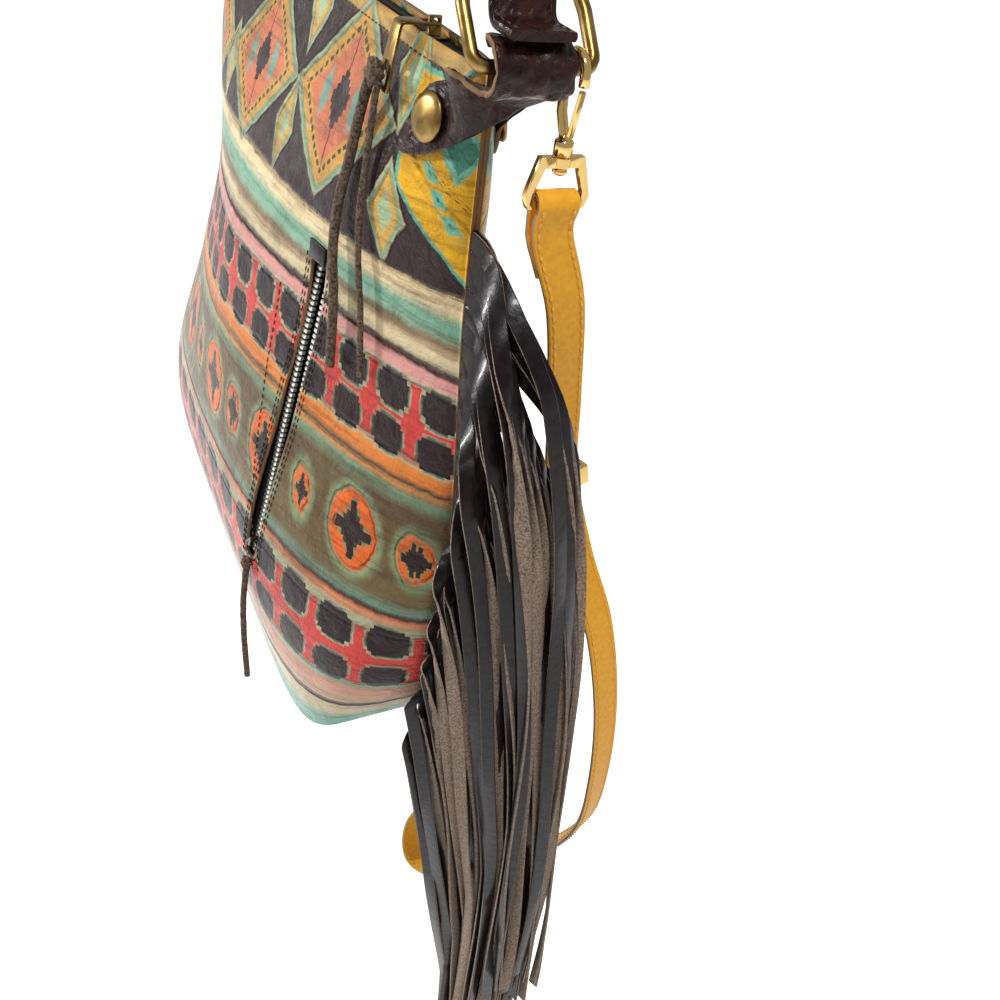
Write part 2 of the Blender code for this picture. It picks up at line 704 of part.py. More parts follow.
long_lace_line = lace_line(
    TOP_SLIDER_X - 0.0020, slot_end - PULL_SLOT_LENGTH / 2, LONG_LACE_DIAMETER / 2, (0.1085, 0.1075, 0.111, 0.1155), LONG_LACE_END
)
short_lace_line = lace_line(
    TOP_SLIDER_X + 0.0028, slot_end - 0.001, SHORT_LACE_DIAMETER / 2, (0.1195, 0.123, 0.128, 0.133), SHORT_LACE_END
)
tube("top_zip_lace_long", long_lace_line, LONG_LACE_DIAMETER / 2, SUEDE_LACE, 2)
tube("top_zip_lace_short", short_lace_line, SHORT_LACE_DIAMETER / 2, SUEDE_LACE, 2)
lace_local = Vector((0.0, TAPE_FACE + front_hole_y, -FRONT_SLIDER_REST - 2 * PULL_RING_RADIUS - PULL_RING_ROD))
lace_top = zip_matrix @ lace_local
lace_top.z -= FRONT_LACE_DIAMETER / 2 + CLEAR
lace_top.y -= LACE_STANDOFF / 2
front_lace_line = []
for k in range(9):
    out = LACE_STANDOFF * 1.5 * min(k / 3, 1.0)
    front_lace_line.append(lace_top - Vector((0.0, out, FRONT_LACE_LENGTH * k / 8)))
tube("front_zip_lace", front_lace_line, FRONT_LACE_DIAMETER / 2, SUEDE_LACE, 2)

# Tabs: one strap of leather over each end of the mouth, rolled round the bar of its ring

TAB_OFF = TAB_LEATHER / 2 + TAB_STANDOFF
FRONT_LEG = (
    ((0.1385, -0.013, -0.0240), (0.0030, 0.0, 0.0080)),
    ((0.1430, -0.013, -0.0230), (0.0040, 0.0, 0.0125)),
    ((RIVET_X, -0.0125, RIVET_Z), (0.0040, 0.0, 0.0135)),
    ((0.1590, -0.0125, -0.0165), (0.0030, -0.0010, 0.0135)),
    ((0.1705, -0.0110, -0.0100), (0.0010, -0.0060, 0.0105)),
    ((0.1815, -0.0040, -0.0040), (0.0, -0.0110, 0.0030)),
)
BACK_LEG = (
    ((0.1815, 0.0030, 0.0110), (0.0, -0.0115, -0.0010)),
    ((0.1720, 0.0095, 0.0020), (0.0010, -0.0060, 0.0090)),
    ((0.1600, 0.0125, -0.0115), (0.0030, -0.0010, 0.0130)),
    ((RIVET_X, 0.0125, RIVET_Z), (0.0040, 0.0, 0.0135)),
    ((0.1430, 0.013, -0.0230), (0.0040, 0.0, 0.0125)),
    ((0.1385, 0.013, -0.0240), (0.0030, 0.0, 0.0080)),
)


def tab_rows():
    """Rows across the right tab, from its front end round the roll to its back end."""
    roll = arc((BAR_X, 0.0, BAR_Z), TAB_ROLL_RADIUS, -100, 100, 10, (1, 0, 0), (0, 0, 1))
    sections = []
    for leg, begin, stop in ((FRONT_LEG, 0, 15), (BACK_LEG, 1, 16)):
        places = smooth_line([c for c, _ in leg], 15)
        spans = smooth_line([h for _, h in leg], 15)
        sections.append(list(zip(places, spans))[begin - (1 if begin else 0) : stop])
    middle = [(p, Vector((0.0, -TAB_ROLL_HALF_LENGTH, 0.0))) for p in roll]
    rows = []
    for place, half in sections[0] + middle + sections[1]:
        row = [place + half * share for share in (1.0, 0.5, 0.0, -0.5, -1.0)]
        for p in row:
            if p.x < TAB_FREE_X and p.z < -0.001:
                side = 1 if p.y > 0 else -1
                lean = abs(front_normal(p.x, p.z).y)
                lying = -front_y(p.x, p.z) + TAB_OFF / lean
                lifted = min(max((p.x - TAB_LIFT_X) / (TAB_FREE_X - TAB_LIFT_X), 0.0), 1.0)
                p.y = side * max(lying, lying + (abs(p.y) - lying) * lifted)
        rows.append(row)
    return rows


RIVET_BASE = TAB_STANDOFF + TAB_LEATHER + CLEAR
RIVET_FOOT = -(LEATHER + RIVET_SLACK)


def rivet(name, end, side, leather):
    """A rivet through a tab and a panel, and the holes it goes through."""
    normal = front_normal(RIVET_X, RIVET_Z, side)
    place = Vector((RIVET_X, -side * front_y(RIVET_X, RIVET_Z), RIVET_Z))
    if end < 0:
        normal.x = -normal.x
        place.x = -place.x
    turn = Matrix.Translation(place) @ normal.to_track_quat("Z", "Y").to_matrix().to_4x4()
    burr = RIVET_FOOT - RIVET_BURR_THICKNESS
    profile = (
        (0.0, burr),
        (RIVET_BURR_RADIUS, burr),
        (RIVET_BURR_RADIUS, RIVET_FOOT),
        (RIVET_SHANK_RADIUS, RIVET_FOOT),
        (RIVET_SHANK_RADIUS, RIVET_BASE),
        (RIVET_CAP_RADIUS - 0.0006, RIVET_BASE),
        (RIVET_CAP_RADIUS, RIVET_BASE + 0.0008),
        (RIVET_CAP_RADIUS - 0.0004, RIVET_BASE + 0.0016),
        (RIVET_CAP_RADIUS - 0.0030, RIVET_BASE + RIVET_CAP_HEIGHT - 0.0003),
        (0.0, RIVET_BASE + RIVET_CAP_HEIGHT),
    )
    add_object(name, turned_mesh(profile, 24, turn), ANTIQUE_BRASS)
    bore_mesh = rod_mesh(RIVET_SHANK_RADIUS + CLEAR, 0.014, 16, turn)
    bore = as_cutter(add_object(f"{name}_bore", bore_mesh, None, group=cutters))
    for obj in leather:
        cut(obj, bore, f"bore_{name}")


def ring_points(end):
    """The closed line of a D ring about its own bar."""
    lean = math.radians(RING_LEAN)
    up = Vector((-math.sin(lean) * end, 0.0, math.cos(lean)))
    across = Vector((0.0, 1.0, 0.0))
    half = RING_HALF_WIDTH
    inner = half - RING_CORNER
    rise = 0.018
    line = arc(Vector((0, RING_OFFSET_Y - inner, 0)) + up * RING_CORNER, RING_CORNER, 180, 270, 4, across, up)
    line += arc(Vector((0, RING_OFFSET_Y + inner, 0)) + up * RING_CORNER, RING_CORNER, 270, 360, 4, across, up)
    for k in range(11):
        angle = math.pi * k / 10
        y = RING_OFFSET_Y + half * math.cos(angle)
        line.append(across * y + up * (RING_HEIGHT - rise + rise * math.sin(angle)))
    return line


handle_line = [
    Vector((0.1990, 0.0, 0.0168)),
    Vector((0.1920, 0.0, 0.0169)),
    Vector((0.1870, 0.0, 0.0172)),
    Vector((0.1842, 0.0, 0.0190)),
    Vector((0.1828, 0.0, 0.0230)),
]
handle_top = HANDLE_RISE + HANDLE_THICKNESS / 2
handle_spring = 0.0290
for k in range(HANDLE_SEGMENTS + 1):
    angle = math.pi * k / HANDLE_SEGMENTS
    c, s = math.cos(angle), math.sin(angle)
    x = math.copysign(abs(c) ** 0.80, c) * 0.1824
    handle_line.append(Vector((x, 0.0, handle_spring + (handle_top - handle_spring) * s**0.80)))
handle_line += [Vector((-p.x, 0.0, p.z)) for p in reversed(handle_line[:5])]
handle_rows = [[p + Vector((0, y, 0)) for y in (-HANDLE_WIDTH / 2, HANDLE_WIDTH / 2)] for p in handle_line]
handle = add_object("top_handle", sheet_mesh(handle_rows), DARK_LEATHER)
thicken(handle, HANDLE_THICKNESS, 0.0, even=True)

# Fringe: a header strip in the seam, cut into strands that bend out and hang down


def seam_x(z):
    """How far out the side seam is at a height."""
    last = panel_point(1.0, 0.0, -1)
    for k in range(1, 101):
        here = panel_point(1.0, k / 100, -1)
        if here.z <= z:
            t = (last.z - z) / (last.z - here.z)
            return last.x + (here.x - last.x) * t
        last = here
    return last.x


def swing(depth):
    """The share of the fringe's full swing at a depth below its top."""
    depth = max(depth, 0.0)
    return depth / (depth + FRINGE_SWING_DEPTH)


def strand_rings(i):
    """Sections of one strand: its middle, and half its width and thickness as vectors."""
    z0 = -(FRINGE_TOP + i * STRAND_PITCH)
    x0 = seam_x(z0) + HEADER_OUTSET
    out = HALF_WIDTH_UPPER + FRINGE_STANDOFF + (STRANDS - 1 - i) * STRAND_LAYER + 0.008
    out = max(out - x0, FRINGE_STANDOFF * 0.5)
    fall = out * 0.8 + 0.006
    y_end = FRINGE_SPREAD * (2 * math.fmod(0.5 + i * GOLDEN, 1.0) - 1)
    begin = swing(-z0 - FRINGE_TOP)
    rings = []
    turns = 5
    straight = 6
    rest = STRAND_LENGTH - (out + fall) * 0.785
    for k in range(1, turns + straight + 1):
        t = min(k / turns, 1.0)
        angle = t * math.pi / 2
        x = x0 + out * math.sin(angle)
        z = z0 - fall * (1 - math.cos(angle)) - rest * max(k - turns, 0) / straight
        depth = -z - FRINGE_TOP
        gathered = begin * (1 - FRINGE_GATHER * min((z0 - z) / 0.25, 1.0))
        spread = t * t * (3 - 2 * t)
        y = y_end * spread + FRINGE_SWING * (swing(depth) - gathered) * spread
        x += FRINGE_LEAN * (swing(depth) - begin)
        twist = min(t / 0.7, 1.0) * math.pi / 2
        side = Vector((math.sin(angle), 0.0, math.cos(angle)))
        wide = side * math.cos(twist) + Vector((0, 1, 0)) * math.sin(twist)
        thin = side * math.sin(twist) - Vector((0, 1, 0)) * math.cos(twist)
        rings.append((Vector((x, y, z)), wide * STRAND_WIDTH / 2, thin * STRAND_THICKNESS / 2))
    return rings


def build_fringe(bm):
    """The header and all its strands as one piece."""
    half = STRAND_THICKNESS / 2
    lines = []
    for i in range(STRANDS):
        z = -(FRINGE_TOP + i * STRAND_PITCH)
        for edge in (z + STRAND_WIDTH / 2, z - STRAND_WIDTH / 2):
            outer = seam_x(z) + HEADER_OUTSET
            inner = seam_x(edge) - HEADER_INSET
            corners = ((inner, -half), (outer, -half), (outer, half), (inner, half))
            lines.append([bm.verts.new((x, y, edge)) for x, y in corners])
    bm.faces.new(lines[0])
    bm.faces.new(reversed(lines[-1]))
    for k, (upper, lower) in enumerate(zip(lines, lines[1:])):
        for i, j in ((0, 1), (1, 2), (2, 3), (3, 0)):
            if i == 1 and k % 2 == 0:
                continue
            bm.faces.new((upper[i], upper[j], lower[j], lower[i]))
    for i in range(STRANDS):
        upper, lower = lines[2 * i], lines[2 * i + 1]
        ring = [upper[1], upper[2], lower[2], lower[1]]
        for centre, wide, thin in strand_rings(i):
            corners = (wide + thin, wide - thin, -wide - thin, -wide + thin)
            fresh = [bm.verts.new(centre + c) for c in corners]
            for a in range(4):
                b = (a + 1) % 4
                bm.faces.new((ring[a], ring[b], fresh[b], fresh[a]))
            ring = fresh
        bm.faces.new(ring)


add_object("fringe_right", mesh_from(build_fringe), DARK_LEATHER)

# Snap hooks, their loops and the strap


def hook(end, label):
    """A snap hook on the ring's bar, its gate, and the loop that it swivels in."""
    base = Vector((BAR_X * end, HOOK_Y, 0.0))
    x_dir, z_dir = (end, 0, 0), (0, 0, 1)
    crown_z = BAR_Z + RING_ROD_RADIUS + 2 * CLEAR + HOOK_ROD_RADIUS - HOOK_HALF_WIDTH
    line = [base + Vector((0, 0, BOSS_TOP - 0.003)), base + Vector((-0.0010 * end, 0, BOSS_TOP + 0.001))]
    line.append(base + Vector((-0.0046 * end, 0, -0.0080)))
    line += arc(base + Vector((0, 0, crown_z)), HOOK_HALF_WIDTH, 180, 0, 10, x_dir, z_dir)
    line.append(base + Vector((HOOK_HALF_WIDTH * end, 0, GATE_TIP[1] + GATE_RADIUS + CLEAR)))
    body = tube_mesh_object(f"hook_{label}", line, HOOK_ROD_RADIUS, GOLD_PLATE, 2)
    stem_low = BOSS_BOTTOM - CLEAR - LOOP_TOP_BAR - CLEAR
    profile = (
        (0.0, stem_low - HEAD_HEIGHT),
        (HEAD_RADIUS - 0.0008, stem_low - HEAD_HEIGHT),
        (HEAD_RADIUS, stem_low - HEAD_HEIGHT / 2),
        (HEAD_RADIUS - 0.0004, stem_low),
        (NECK_RADIUS, stem_low),
        (NECK_RADIUS, BOSS_BOTTOM),
        (BOSS_RADIUS, BOSS_BOTTOM),
        (BOSS_RADIUS, BOSS_TOP - 0.0008),
        (BOSS_RADIUS - 0.0008, BOSS_TOP),
        (0.0, BOSS_TOP),
    )
    stem_mesh = turned_mesh(profile, 20, Matrix.Translation(base))
    stem = as_cutter(add_object(f"hook_{label}_stem", stem_mesh, None, group=cutters))
    join(body, stem)
    foot = base + Vector((GATE_FOOT[0] * end, 0, GATE_FOOT[1]))
    gate_line = [Vector((0, 0, 0)), Vector(((GATE_TIP[0] - GATE_FOOT[0]) * end, 0, GATE_TIP[1] - GATE_FOOT[1]))]
    gate = tube(f"gate_{label}", gate_line, GATE_RADIUS, GOLD_PLATE, 2)
    gate.location = foot
    top = BOSS_BOTTOM - CLEAR
    low = LOOP_BAR_Z - LOOP_ROD / 2
    wide = LOOP_HALF_WIDTH + LOOP_ROD
    narrow = LOOP_TOP_HALF_WIDTH + LOOP_ROD * 0.7
    outer = [(-narrow, top), (narrow, top), (wide, low + 0.004), (wide - 0.0015, low), (0.0015 - wide, low), (-wide, low + 0.004)]
    inner_top = top - LOOP_TOP_BAR
    inner_low = low + LOOP_ROD
    inner = [
        (-LOOP_TOP_HALF_WIDTH, inner_top),
        (LOOP_TOP_HALF_WIDTH, inner_top),
        (LOOP_HALF_WIDTH, inner_low + 0.0025),
        (LOOP_HALF_WIDTH, inner_low),
        (-LOOP_HALF_WIDTH, inner_low),
        (-LOOP_HALF_WIDTH, inner_low + 0.0025),
    ]
    face = Matrix(((0, 0, 1, 0), (1, 0, 0, 0), (0, 1, 0, 0), (0, 0, 0, 1)))
    place = Matrix.Translation(base) @ face
    half = LOOP_ROD / 2
    loop = add_object(f"d_loop_{label}", prism_mesh(outer, -half, half, place), GOLD_PLATE)
    window = as_cutter(
        add_object(f"d_loop_{label}_window", prism_mesh(inner, -0.01, 0.01, place), None, group=cutters)
    )
    stem_hole = rod_mesh(NECK_RADIUS + CLEAR, 0.012, 16, Matrix.Translation(base + Vector((0, 0, top))))
    stem_bore = as_cutter(add_object(f"d_loop_{label}_bore", stem_hole, None, group=cutters))
    eye_place = Matrix.Translation(base + Vector((0, 0, top - LOOP_TOP_BAR / 2)))
    eye_mesh = rod_mesh(LOOP_EYE_RADIUS, LOOP_TOP_BAR - 0.0004, 20, eye_place)
    eye = as_cutter(add_object(f"d_loop_{label}_eye", eye_mesh, None, group=cutters))
    cut(loop, window, "window")
    join(loop, eye)
    cut(loop, stem_bore, "bore")
    rounded = loop.modifiers.new("rounded", "BEVEL")
    rounded.width = 0.0006
    rounded.segments = 1
    rounded.limit_method = "ANGLE"
    rounded.angle_limit = math.radians(60)


for end, label in ((1, "right"), (-1, "left")):
    rows = [[Vector((p.x * end, p.y, p.z)) for p in row] for row in tab_rows()]
    tab = add_object(f"tab_{label}", sheet_mesh(rows, flip=end < 0), DARK_LEATHER)
    thicken(tab, TAB_LEATHER, 0.0)
    rivet(f"rivet_front_{label}", end, -1, (front_panel, tab))
    rivet(f"rivet_back_{label}", end, 1, (back_panel, tab))
    ring = tube(f"ring_{label}", ring_points(end), RING_ROD_RADIUS, ANTIQUE_BRASS, 2, True)
    ring.location = (BAR_X * end, 0.0, BAR_Z)
    hook(end, label)

STRAP_LINE = (
    (0.1910, 0.0185, -0.0480),
    (0.1905, 0.0290, -0.0750),
    (0.1862, 0.0390, -0.1180),
    (0.1868, 0.0450, -0.1560),
    (0.1950, 0.0560, -0.1950),
    (0.2050, 0.0690, -0.2320),
    (0.2123, 0.0790, -0.2800),
    (0.2150, 0.0850, -0.3320),
    (0.2050, 0.0930, -0.3900),
    (0.1800, 0.0950, -0.4500),
    (0.1500, 0.0850, -0.5080),
    (0.1220, 0.0660, -0.5480),
    (0.0980, 0.0480, -0.5560),
    (0.0840, 0.0500, -0.5360),
    (0.0800, 0.0720, -0.5120),
    (0.0640, 0.1000, -0.4700),
    (0.0300, 0.1150, -0.4100),
    (-0.0200, 0.1150, -0.3400),
    (-0.0800, 0.1050, -0.2600),
    (-0.1350, 0.0850, -0.1850),
    (-0.1750, 0.0520, -0.1150),
    (-0.1895, 0.0280, -0.0750),
    (-0.1910, 0.0185, -0.0480),
)


def fold_line(end):
    """The folded end of the strap round its loop's bar, from the cut end up and over."""
    radius = LOOP_ROD / 2 + 3 * CLEAR + STRAP_THICKNESS / 2
    bar = Vector((BAR_X * end, HOOK_Y, LOOP_BAR_Z))
    line = []
    for k in range(4):
        share = k / 3
        gap = 2 * radius + (STRAP_THICKNESS + 2 * CLEAR - 2 * radius) * (1 - share)
        fall = STRAP_FOLD * (1 - share)
        main = Vector(STRAP_LINE[0]) if end > 0 else Vector(STRAP_LINE[-1])
        after = Vector(STRAP_LINE[1]) if end > 0 else Vector(STRAP_LINE[-2])
        start = bar + Vector((radius * end, 0, 0))
        knee = (start - main).length
        if fall < knee:
            place = start.lerp(main, fall / knee)
        else:
            place = main.lerp(after, (fall - knee) / (after - main).length)
        line.append(place - Vector((gap * end, 0, 0)))
    return line + arc(bar, radius, 165, 0, 7, (end, 0, 0), (0, 0, 1))


near = fold_line(1)
far = [p for p in reversed(fold_line(-1))]
middle = smooth_line([near[-1]] + list(STRAP_LINE) + [far[0]], STRAP_SEGMENTS)
strap_line = near + middle[1:-1] + far
tangents = []
for k in range(len(strap_line)):
    ahead = strap_line[min(k + 1, len(strap_line) - 1)]
    behind = strap_line[max(k - 1, 0)]
    tangents.append((ahead - behind).normalized())


def level_width(tangent):
    """The strap's width where it lies flat over a loop's bar."""
    wide = Vector((0.0, 1.0, 0.0))
    return (wide - wide.dot(tangent) * tangent).normalized()


first = len(near) - 1
last = len(strap_line) - len(far)
widths = [level_width(t) for t in tangents[: first + 1]]
for previous, tangent in zip(tangents[first:last], tangents[first + 1 :]):
    turned = previous.rotation_difference(tangent) @ widths[-1]
    widths.append((turned - turned.dot(tangent) * tangent).normalized())
goal = level_width(tangents[last])
if widths[last].dot(goal) < 0:
    goal = -goal
twist_left = math.atan2(widths[last].cross(goal).dot(tangents[last]), widths[last].dot(goal))
for k in range(first, last + 1):
    share = (k - first) / (last - first)
    widths[k] = Matrix.Rotation(twist_left * share, 3, tangents[k]) @ widths[k]
facing = 1 if widths[last].y > 0 else -1
widths += [facing * level_width(t) for t in tangents[last + 1 :]]
strap_rows = [[p + w * STRAP_WIDTH / 2 * e for e in (-1, 1)] for p, w in zip(strap_line, widths)]
strap = add_object("strap", sheet_mesh(strap_rows), YELLOW_LEATHER)
thicken(strap, STRAP_THICKNESS, 0.0)

# The adjuster is a metal keeper round the strap
at = first + round(ADJUSTER_AT * (last - first))
along = tangents[at]
wide = widths[at]
through = along.cross(wide).normalized()
keeper_axes = Matrix((wide, through, along)).transposed().to_4x4()
inside = (STRAP_WIDTH + 2 * ADJUSTER_PLAY, STRAP_THICKNESS + 2 * ADJUSTER_PLAY, 0.03)
outside = (inside[0] + 2 * ADJUSTER_WALL, inside[1] + 2 * ADJUSTER_WALL, ADJUSTER_LENGTH)
keeper_place = Matrix.Translation(strap_line[at]) @ keeper_axes
adjuster = add_object("strap_adjuster", box_mesh(outside), GOLD_PLATE)
adjuster.matrix_local = keeper_place
keeper_hole = as_cutter(add_object("adjuster_hole", box_mesh(inside), None, group=cutters))
keeper_hole.matrix_local = keeper_place
cut(adjuster, keeper_hole, "hole")
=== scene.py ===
"""Leather crossbody bag with painted bands, a side fringe and a clip-on strap, hanging by its top handle."""

import math
import random

import bmesh
import bpy
from mathutils import Matrix, Vector, noise


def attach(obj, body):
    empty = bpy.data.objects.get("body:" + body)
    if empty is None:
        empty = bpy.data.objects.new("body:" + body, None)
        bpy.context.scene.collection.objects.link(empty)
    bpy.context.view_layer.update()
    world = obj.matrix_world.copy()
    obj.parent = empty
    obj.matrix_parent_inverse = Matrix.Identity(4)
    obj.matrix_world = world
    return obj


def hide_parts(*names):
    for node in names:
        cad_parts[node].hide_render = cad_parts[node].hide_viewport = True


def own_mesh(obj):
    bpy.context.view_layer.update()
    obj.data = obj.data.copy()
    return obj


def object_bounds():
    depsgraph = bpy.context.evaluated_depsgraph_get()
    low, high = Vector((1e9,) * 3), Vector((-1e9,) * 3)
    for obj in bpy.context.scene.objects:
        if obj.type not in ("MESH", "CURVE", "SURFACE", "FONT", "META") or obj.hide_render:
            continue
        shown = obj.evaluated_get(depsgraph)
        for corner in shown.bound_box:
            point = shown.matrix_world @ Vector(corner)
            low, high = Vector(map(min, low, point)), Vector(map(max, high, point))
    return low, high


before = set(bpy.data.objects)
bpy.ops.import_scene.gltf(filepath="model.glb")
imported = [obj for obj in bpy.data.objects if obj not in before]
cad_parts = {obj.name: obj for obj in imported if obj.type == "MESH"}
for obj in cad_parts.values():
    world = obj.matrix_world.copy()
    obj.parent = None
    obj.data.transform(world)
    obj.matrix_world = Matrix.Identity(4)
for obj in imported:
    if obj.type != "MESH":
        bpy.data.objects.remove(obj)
cad_low, cad_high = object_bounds()

# Camera: held close above the fringed corner, looking down along the front and a little turned, through a
# 35 mm lens. The bag's own measures start at its top edge, BAG_TOP below the peak of the handle.
camera_data = bpy.data.cameras.new("camera")
camera_data.lens = 35.46
camera_data.sensor_width = 36.0
camera = bpy.data.objects.new("camera", camera_data)
bpy.context.scene.collection.objects.link(camera)
bpy.context.scene.camera = camera
BAG_TOP = -0.095
TOP_EDGE = Vector((0, 0, BAG_TOP))
camera_right = Vector((0.42063, 0.89816, 0.12796))
camera_up = Vector((-0.58411, 0.16019, 0.79571))
camera_axes = Matrix((camera_right, camera_up, camera_right.cross(camera_up))).transposed()
camera.matrix_world = Matrix.Translation((0.46530, -0.14732, 0.07612 + BAG_TOP)) @ camera_axes.to_4x4()


# Laces: three round cords of brown suede, two through the pull of the mouth's zip and one through the
# pocket's. They are knotted at their pulls and hang over the front, with their ends cut bare.


def linear(code, alpha=1.0):
    """A colour written as sRGB hex, as the shader's linear values."""
    parts = [int(code[i : i + 2], 16) / 255 for i in (1, 3, 5)]
    return [c / 12.92 if c <= 0.04045 else ((c + 0.055) / 1.055) ** 2.4 for c in parts] + [alpha]


def add_node(material, kind, links=None, **settings):
    """Adds a node, sets its attributes, and links or sets its inputs."""
    made = material.node_tree.nodes.new(kind)
    for key, value in settings.items():
        setattr(made, key, value)
    for key, value in (links or {}).items():
        if isinstance(value, bpy.types.NodeSocket):
            material.node_tree.links.new(value, made.inputs[key])
        else:
            made.inputs[key].default_value = value
    return made


def new_material(name, colour, roughness, metallic=0.0, **extra):
    """A Principled material; extra names further sockets of its shader."""
    material = bpy.data.materials.new(name)
    material.use_nodes = True
    shader = material.node_tree.nodes["Principled BSDF"]
    shader.inputs["Base Color"].default_value = linear(colour)
    shader.inputs["Roughness"].default_value = roughness
    shader.inputs["Metallic"].default_value = metallic
    for key, value in extra.items():
        shader.inputs[key.replace("_", " ")].default_value = value
    return material, shader


def laid_grid(columns, rows, place, closed=False, capped=False):
    """A grid bent into shape: place(u, v) puts each point, and u and v stay as its UV map."""
    bm = bmesh.new()
    bmesh.ops.create_grid(bm, x_segments=columns, y_segments=rows, size=0.5)
    uv = bm.loops.layers.uv.new("surface")
    for face in bm.faces:
        for loop in face.loops:
            loop[uv].uv = (loop.vert.co.x + 0.5, loop.vert.co.y + 0.5)
    for vert in bm.verts:
        vert.co = place(vert.co.x + 0.5, vert.co.y + 0.5)
    if closed:
        bmesh.ops.remove_doubles(bm, verts=bm.verts, dist=0.000005)
    if capped:
        rims = [e for e in bm.edges if e.is_boundary]
        bmesh.ops.holes_fill(bm, edges=rims, sides=0)
    if closed:
        bmesh.ops.recalc_face_normals(bm, faces=bm.faces)
    return bm


def finished(name, bm, materials, body="bag", nodes=(), smooth=math.radians(40)):
    """Makes an object of a mesh and tells the frame what it moves with and stands for."""
    mesh = bpy.data.meshes.new(name)
    bm.to_mesh(mesh)
    bm.free()
    for material in materials:
        mesh.materials.append(material)
    mesh.shade_smooth()
    mesh.set_sharp_from_angle(angle=smooth)
    obj = bpy.data.objects.new(name, mesh)
    bpy.context.scene.collection.objects.link(obj)
    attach(obj, body)
    if nodes:
        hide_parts(*nodes)
    return obj


def carried(points, wide):
    """Frames along a line: each point with a width and a thickness direction, turned as little as can be."""
    frames = []
    for k, point in enumerate(points):
        ahead = points[min(k + 1, len(points) - 1)]
        behind = points[max(k - 1, 0)]
        along = (Vector(ahead) - Vector(behind)).normalized()
        wide = (wide - wide.dot(along) * along).normalized()
        frames.append((Vector(point), wide.copy(), along.cross(wide)))
    return frames


def smooth_line(points, count):
    """Points along a smooth curve through the given ones, evenly spaced between each pair."""
    line = []
    spans = len(points) - 1
    for i in range(count + 1):
        at = i / count * spans
        k = min(int(at), spans - 1)
        t = at - k
        p1, p2 = Vector(points[k]), Vector(points[k + 1])
        p0 = Vector(points[k - 1]) if k > 0 else 2 * p1 - p2
        p3 = Vector(points[k + 2]) if k + 2 <= spans else 2 * p2 - p1
        bend = (2 * p0 - 5 * p1 + 4 * p2 - p3) * t * t + (3 * p1 - p0 - 3 * p2 + p3) * t**3
        line.append(0.5 * (2 * p1 + (p2 - p0) * t + bend))
    return line


def round_cord(points, radius, sides=12, rough=0.0):
    """A closed round tube along a line; rough makes its skin uneven."""
    frames = carried(points, Vector((1, 0.2, 0)))
    last = len(points) - 1

    def place(u, v):
        centre, wide, thin = frames[round(v * last)]
        angle = u * math.tau
        out = wide * math.cos(angle) + thin * math.sin(angle)
        size = radius * (1 + rough * noise.noise(centre * 700 + out * 2.0))
        return centre + out * size

    return laid_grid(sides, last, place, closed=True, capped=True)


def mottled(material, shader, texture, stops, relief=None):
    """Two tones of one finish in a fine noise; relief is the strength and depth of the noise's bumps."""
    place = add_node(material, "ShaderNodeTexCoord").outputs["Object"]
    cloud = add_node(material, "ShaderNodeTexNoise", {"Vector": place, **texture}).outputs["Fac"]
    tone = add_node(material, "ShaderNodeValToRGB", {"Fac": cloud})
    for element, (position, code) in zip(tone.color_ramp.elements, stops):
        element.position = position
        element.color = linear(code)
    material.node_tree.links.new(tone.outputs["Color"], shader.inputs["Base Color"])
    if relief:
        links = {"Height": cloud, "Strength": relief[0], "Distance": relief[1]}
        bump = add_node(material, "ShaderNodeBump", links)
        material.node_tree.links.new(bump.outputs["Normal"], shader.inputs["Normal"])
    return cloud


# Suede: the brushed flesh side of a hide, matt; its nap scatters light and is paler where it is rubbed.
# The nap is drawn about 1 mm wide, coarser than it is, so that it shows.
suede, suede_shader = new_material("brushed_suede", "#4a3a30", 0.95)
nap_tones = ((0.35, "#2b211b"), (0.68, "#76604e"))
mottled(suede, suede_shader, {"Scale": 900.0, "Detail": 3.0}, nap_tones, (0.5, 0.0004))

LACE_STEPS = 60
LACE_SIDES = 12
LACE_ROUGH = 0.10
# Name, the body it moves with, radius, and points from the pull down, below the bag's top edge
LACES = (
    (
        "top_zip_lace_long",
        "top_pull",
        0.0020,
        (
            (0.117, -0.01992, -0.01408), (0.11434, -0.02105, -0.01728), (0.1100, -0.0230, -0.0320),
            (0.10805, -0.0252, -0.0471), (0.10736, -0.0292, -0.0665), (0.10867, -0.0312, -0.0856),
            (0.11125, -0.0312, -0.1046), (0.1155, -0.0332, -0.1330),
        ),
    ),
    (
        "top_zip_lace_short",
        "top_pull",
        0.0013,
        (
            (0.1218, -0.01991, -0.0174), (0.12072, -0.02093, -0.02035), (0.1197, -0.0218, -0.0314),
            (0.11985, -0.0232, -0.0469), (0.12218, -0.0257, -0.0655), (0.12508, -0.0262, -0.0837),
            (0.12831, -0.0256, -0.1018), (0.1330, -0.0262, -0.1290),
        ),
    ),
    (
        "front_zip_lace",
        "front_pull",
        0.0016,
        (
            (0.09013, -0.06439, -0.2539), (0.0903, -0.0660, -0.2655), (0.0900, -0.0672, -0.2830),
            (0.0910, -0.0676, -0.3050), (0.0935, -0.0672, -0.3319),
        ),
    ),
)
for name, body, radius, points in LACES:
    line = [p + TOP_EDGE for p in smooth_line(points, LACE_STEPS)]
    cord = finished(
        name, round_cord(line, radius, LACE_SIDES, LACE_ROUGH), [suede], body, [name]
    )
    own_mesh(cord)

# Knots: the same suede, wound round itself and pulled tight, so the ball is ridged and a little uneven
KNOT_RIDGE = 0.16
KNOT_UNEVEN = 0.10
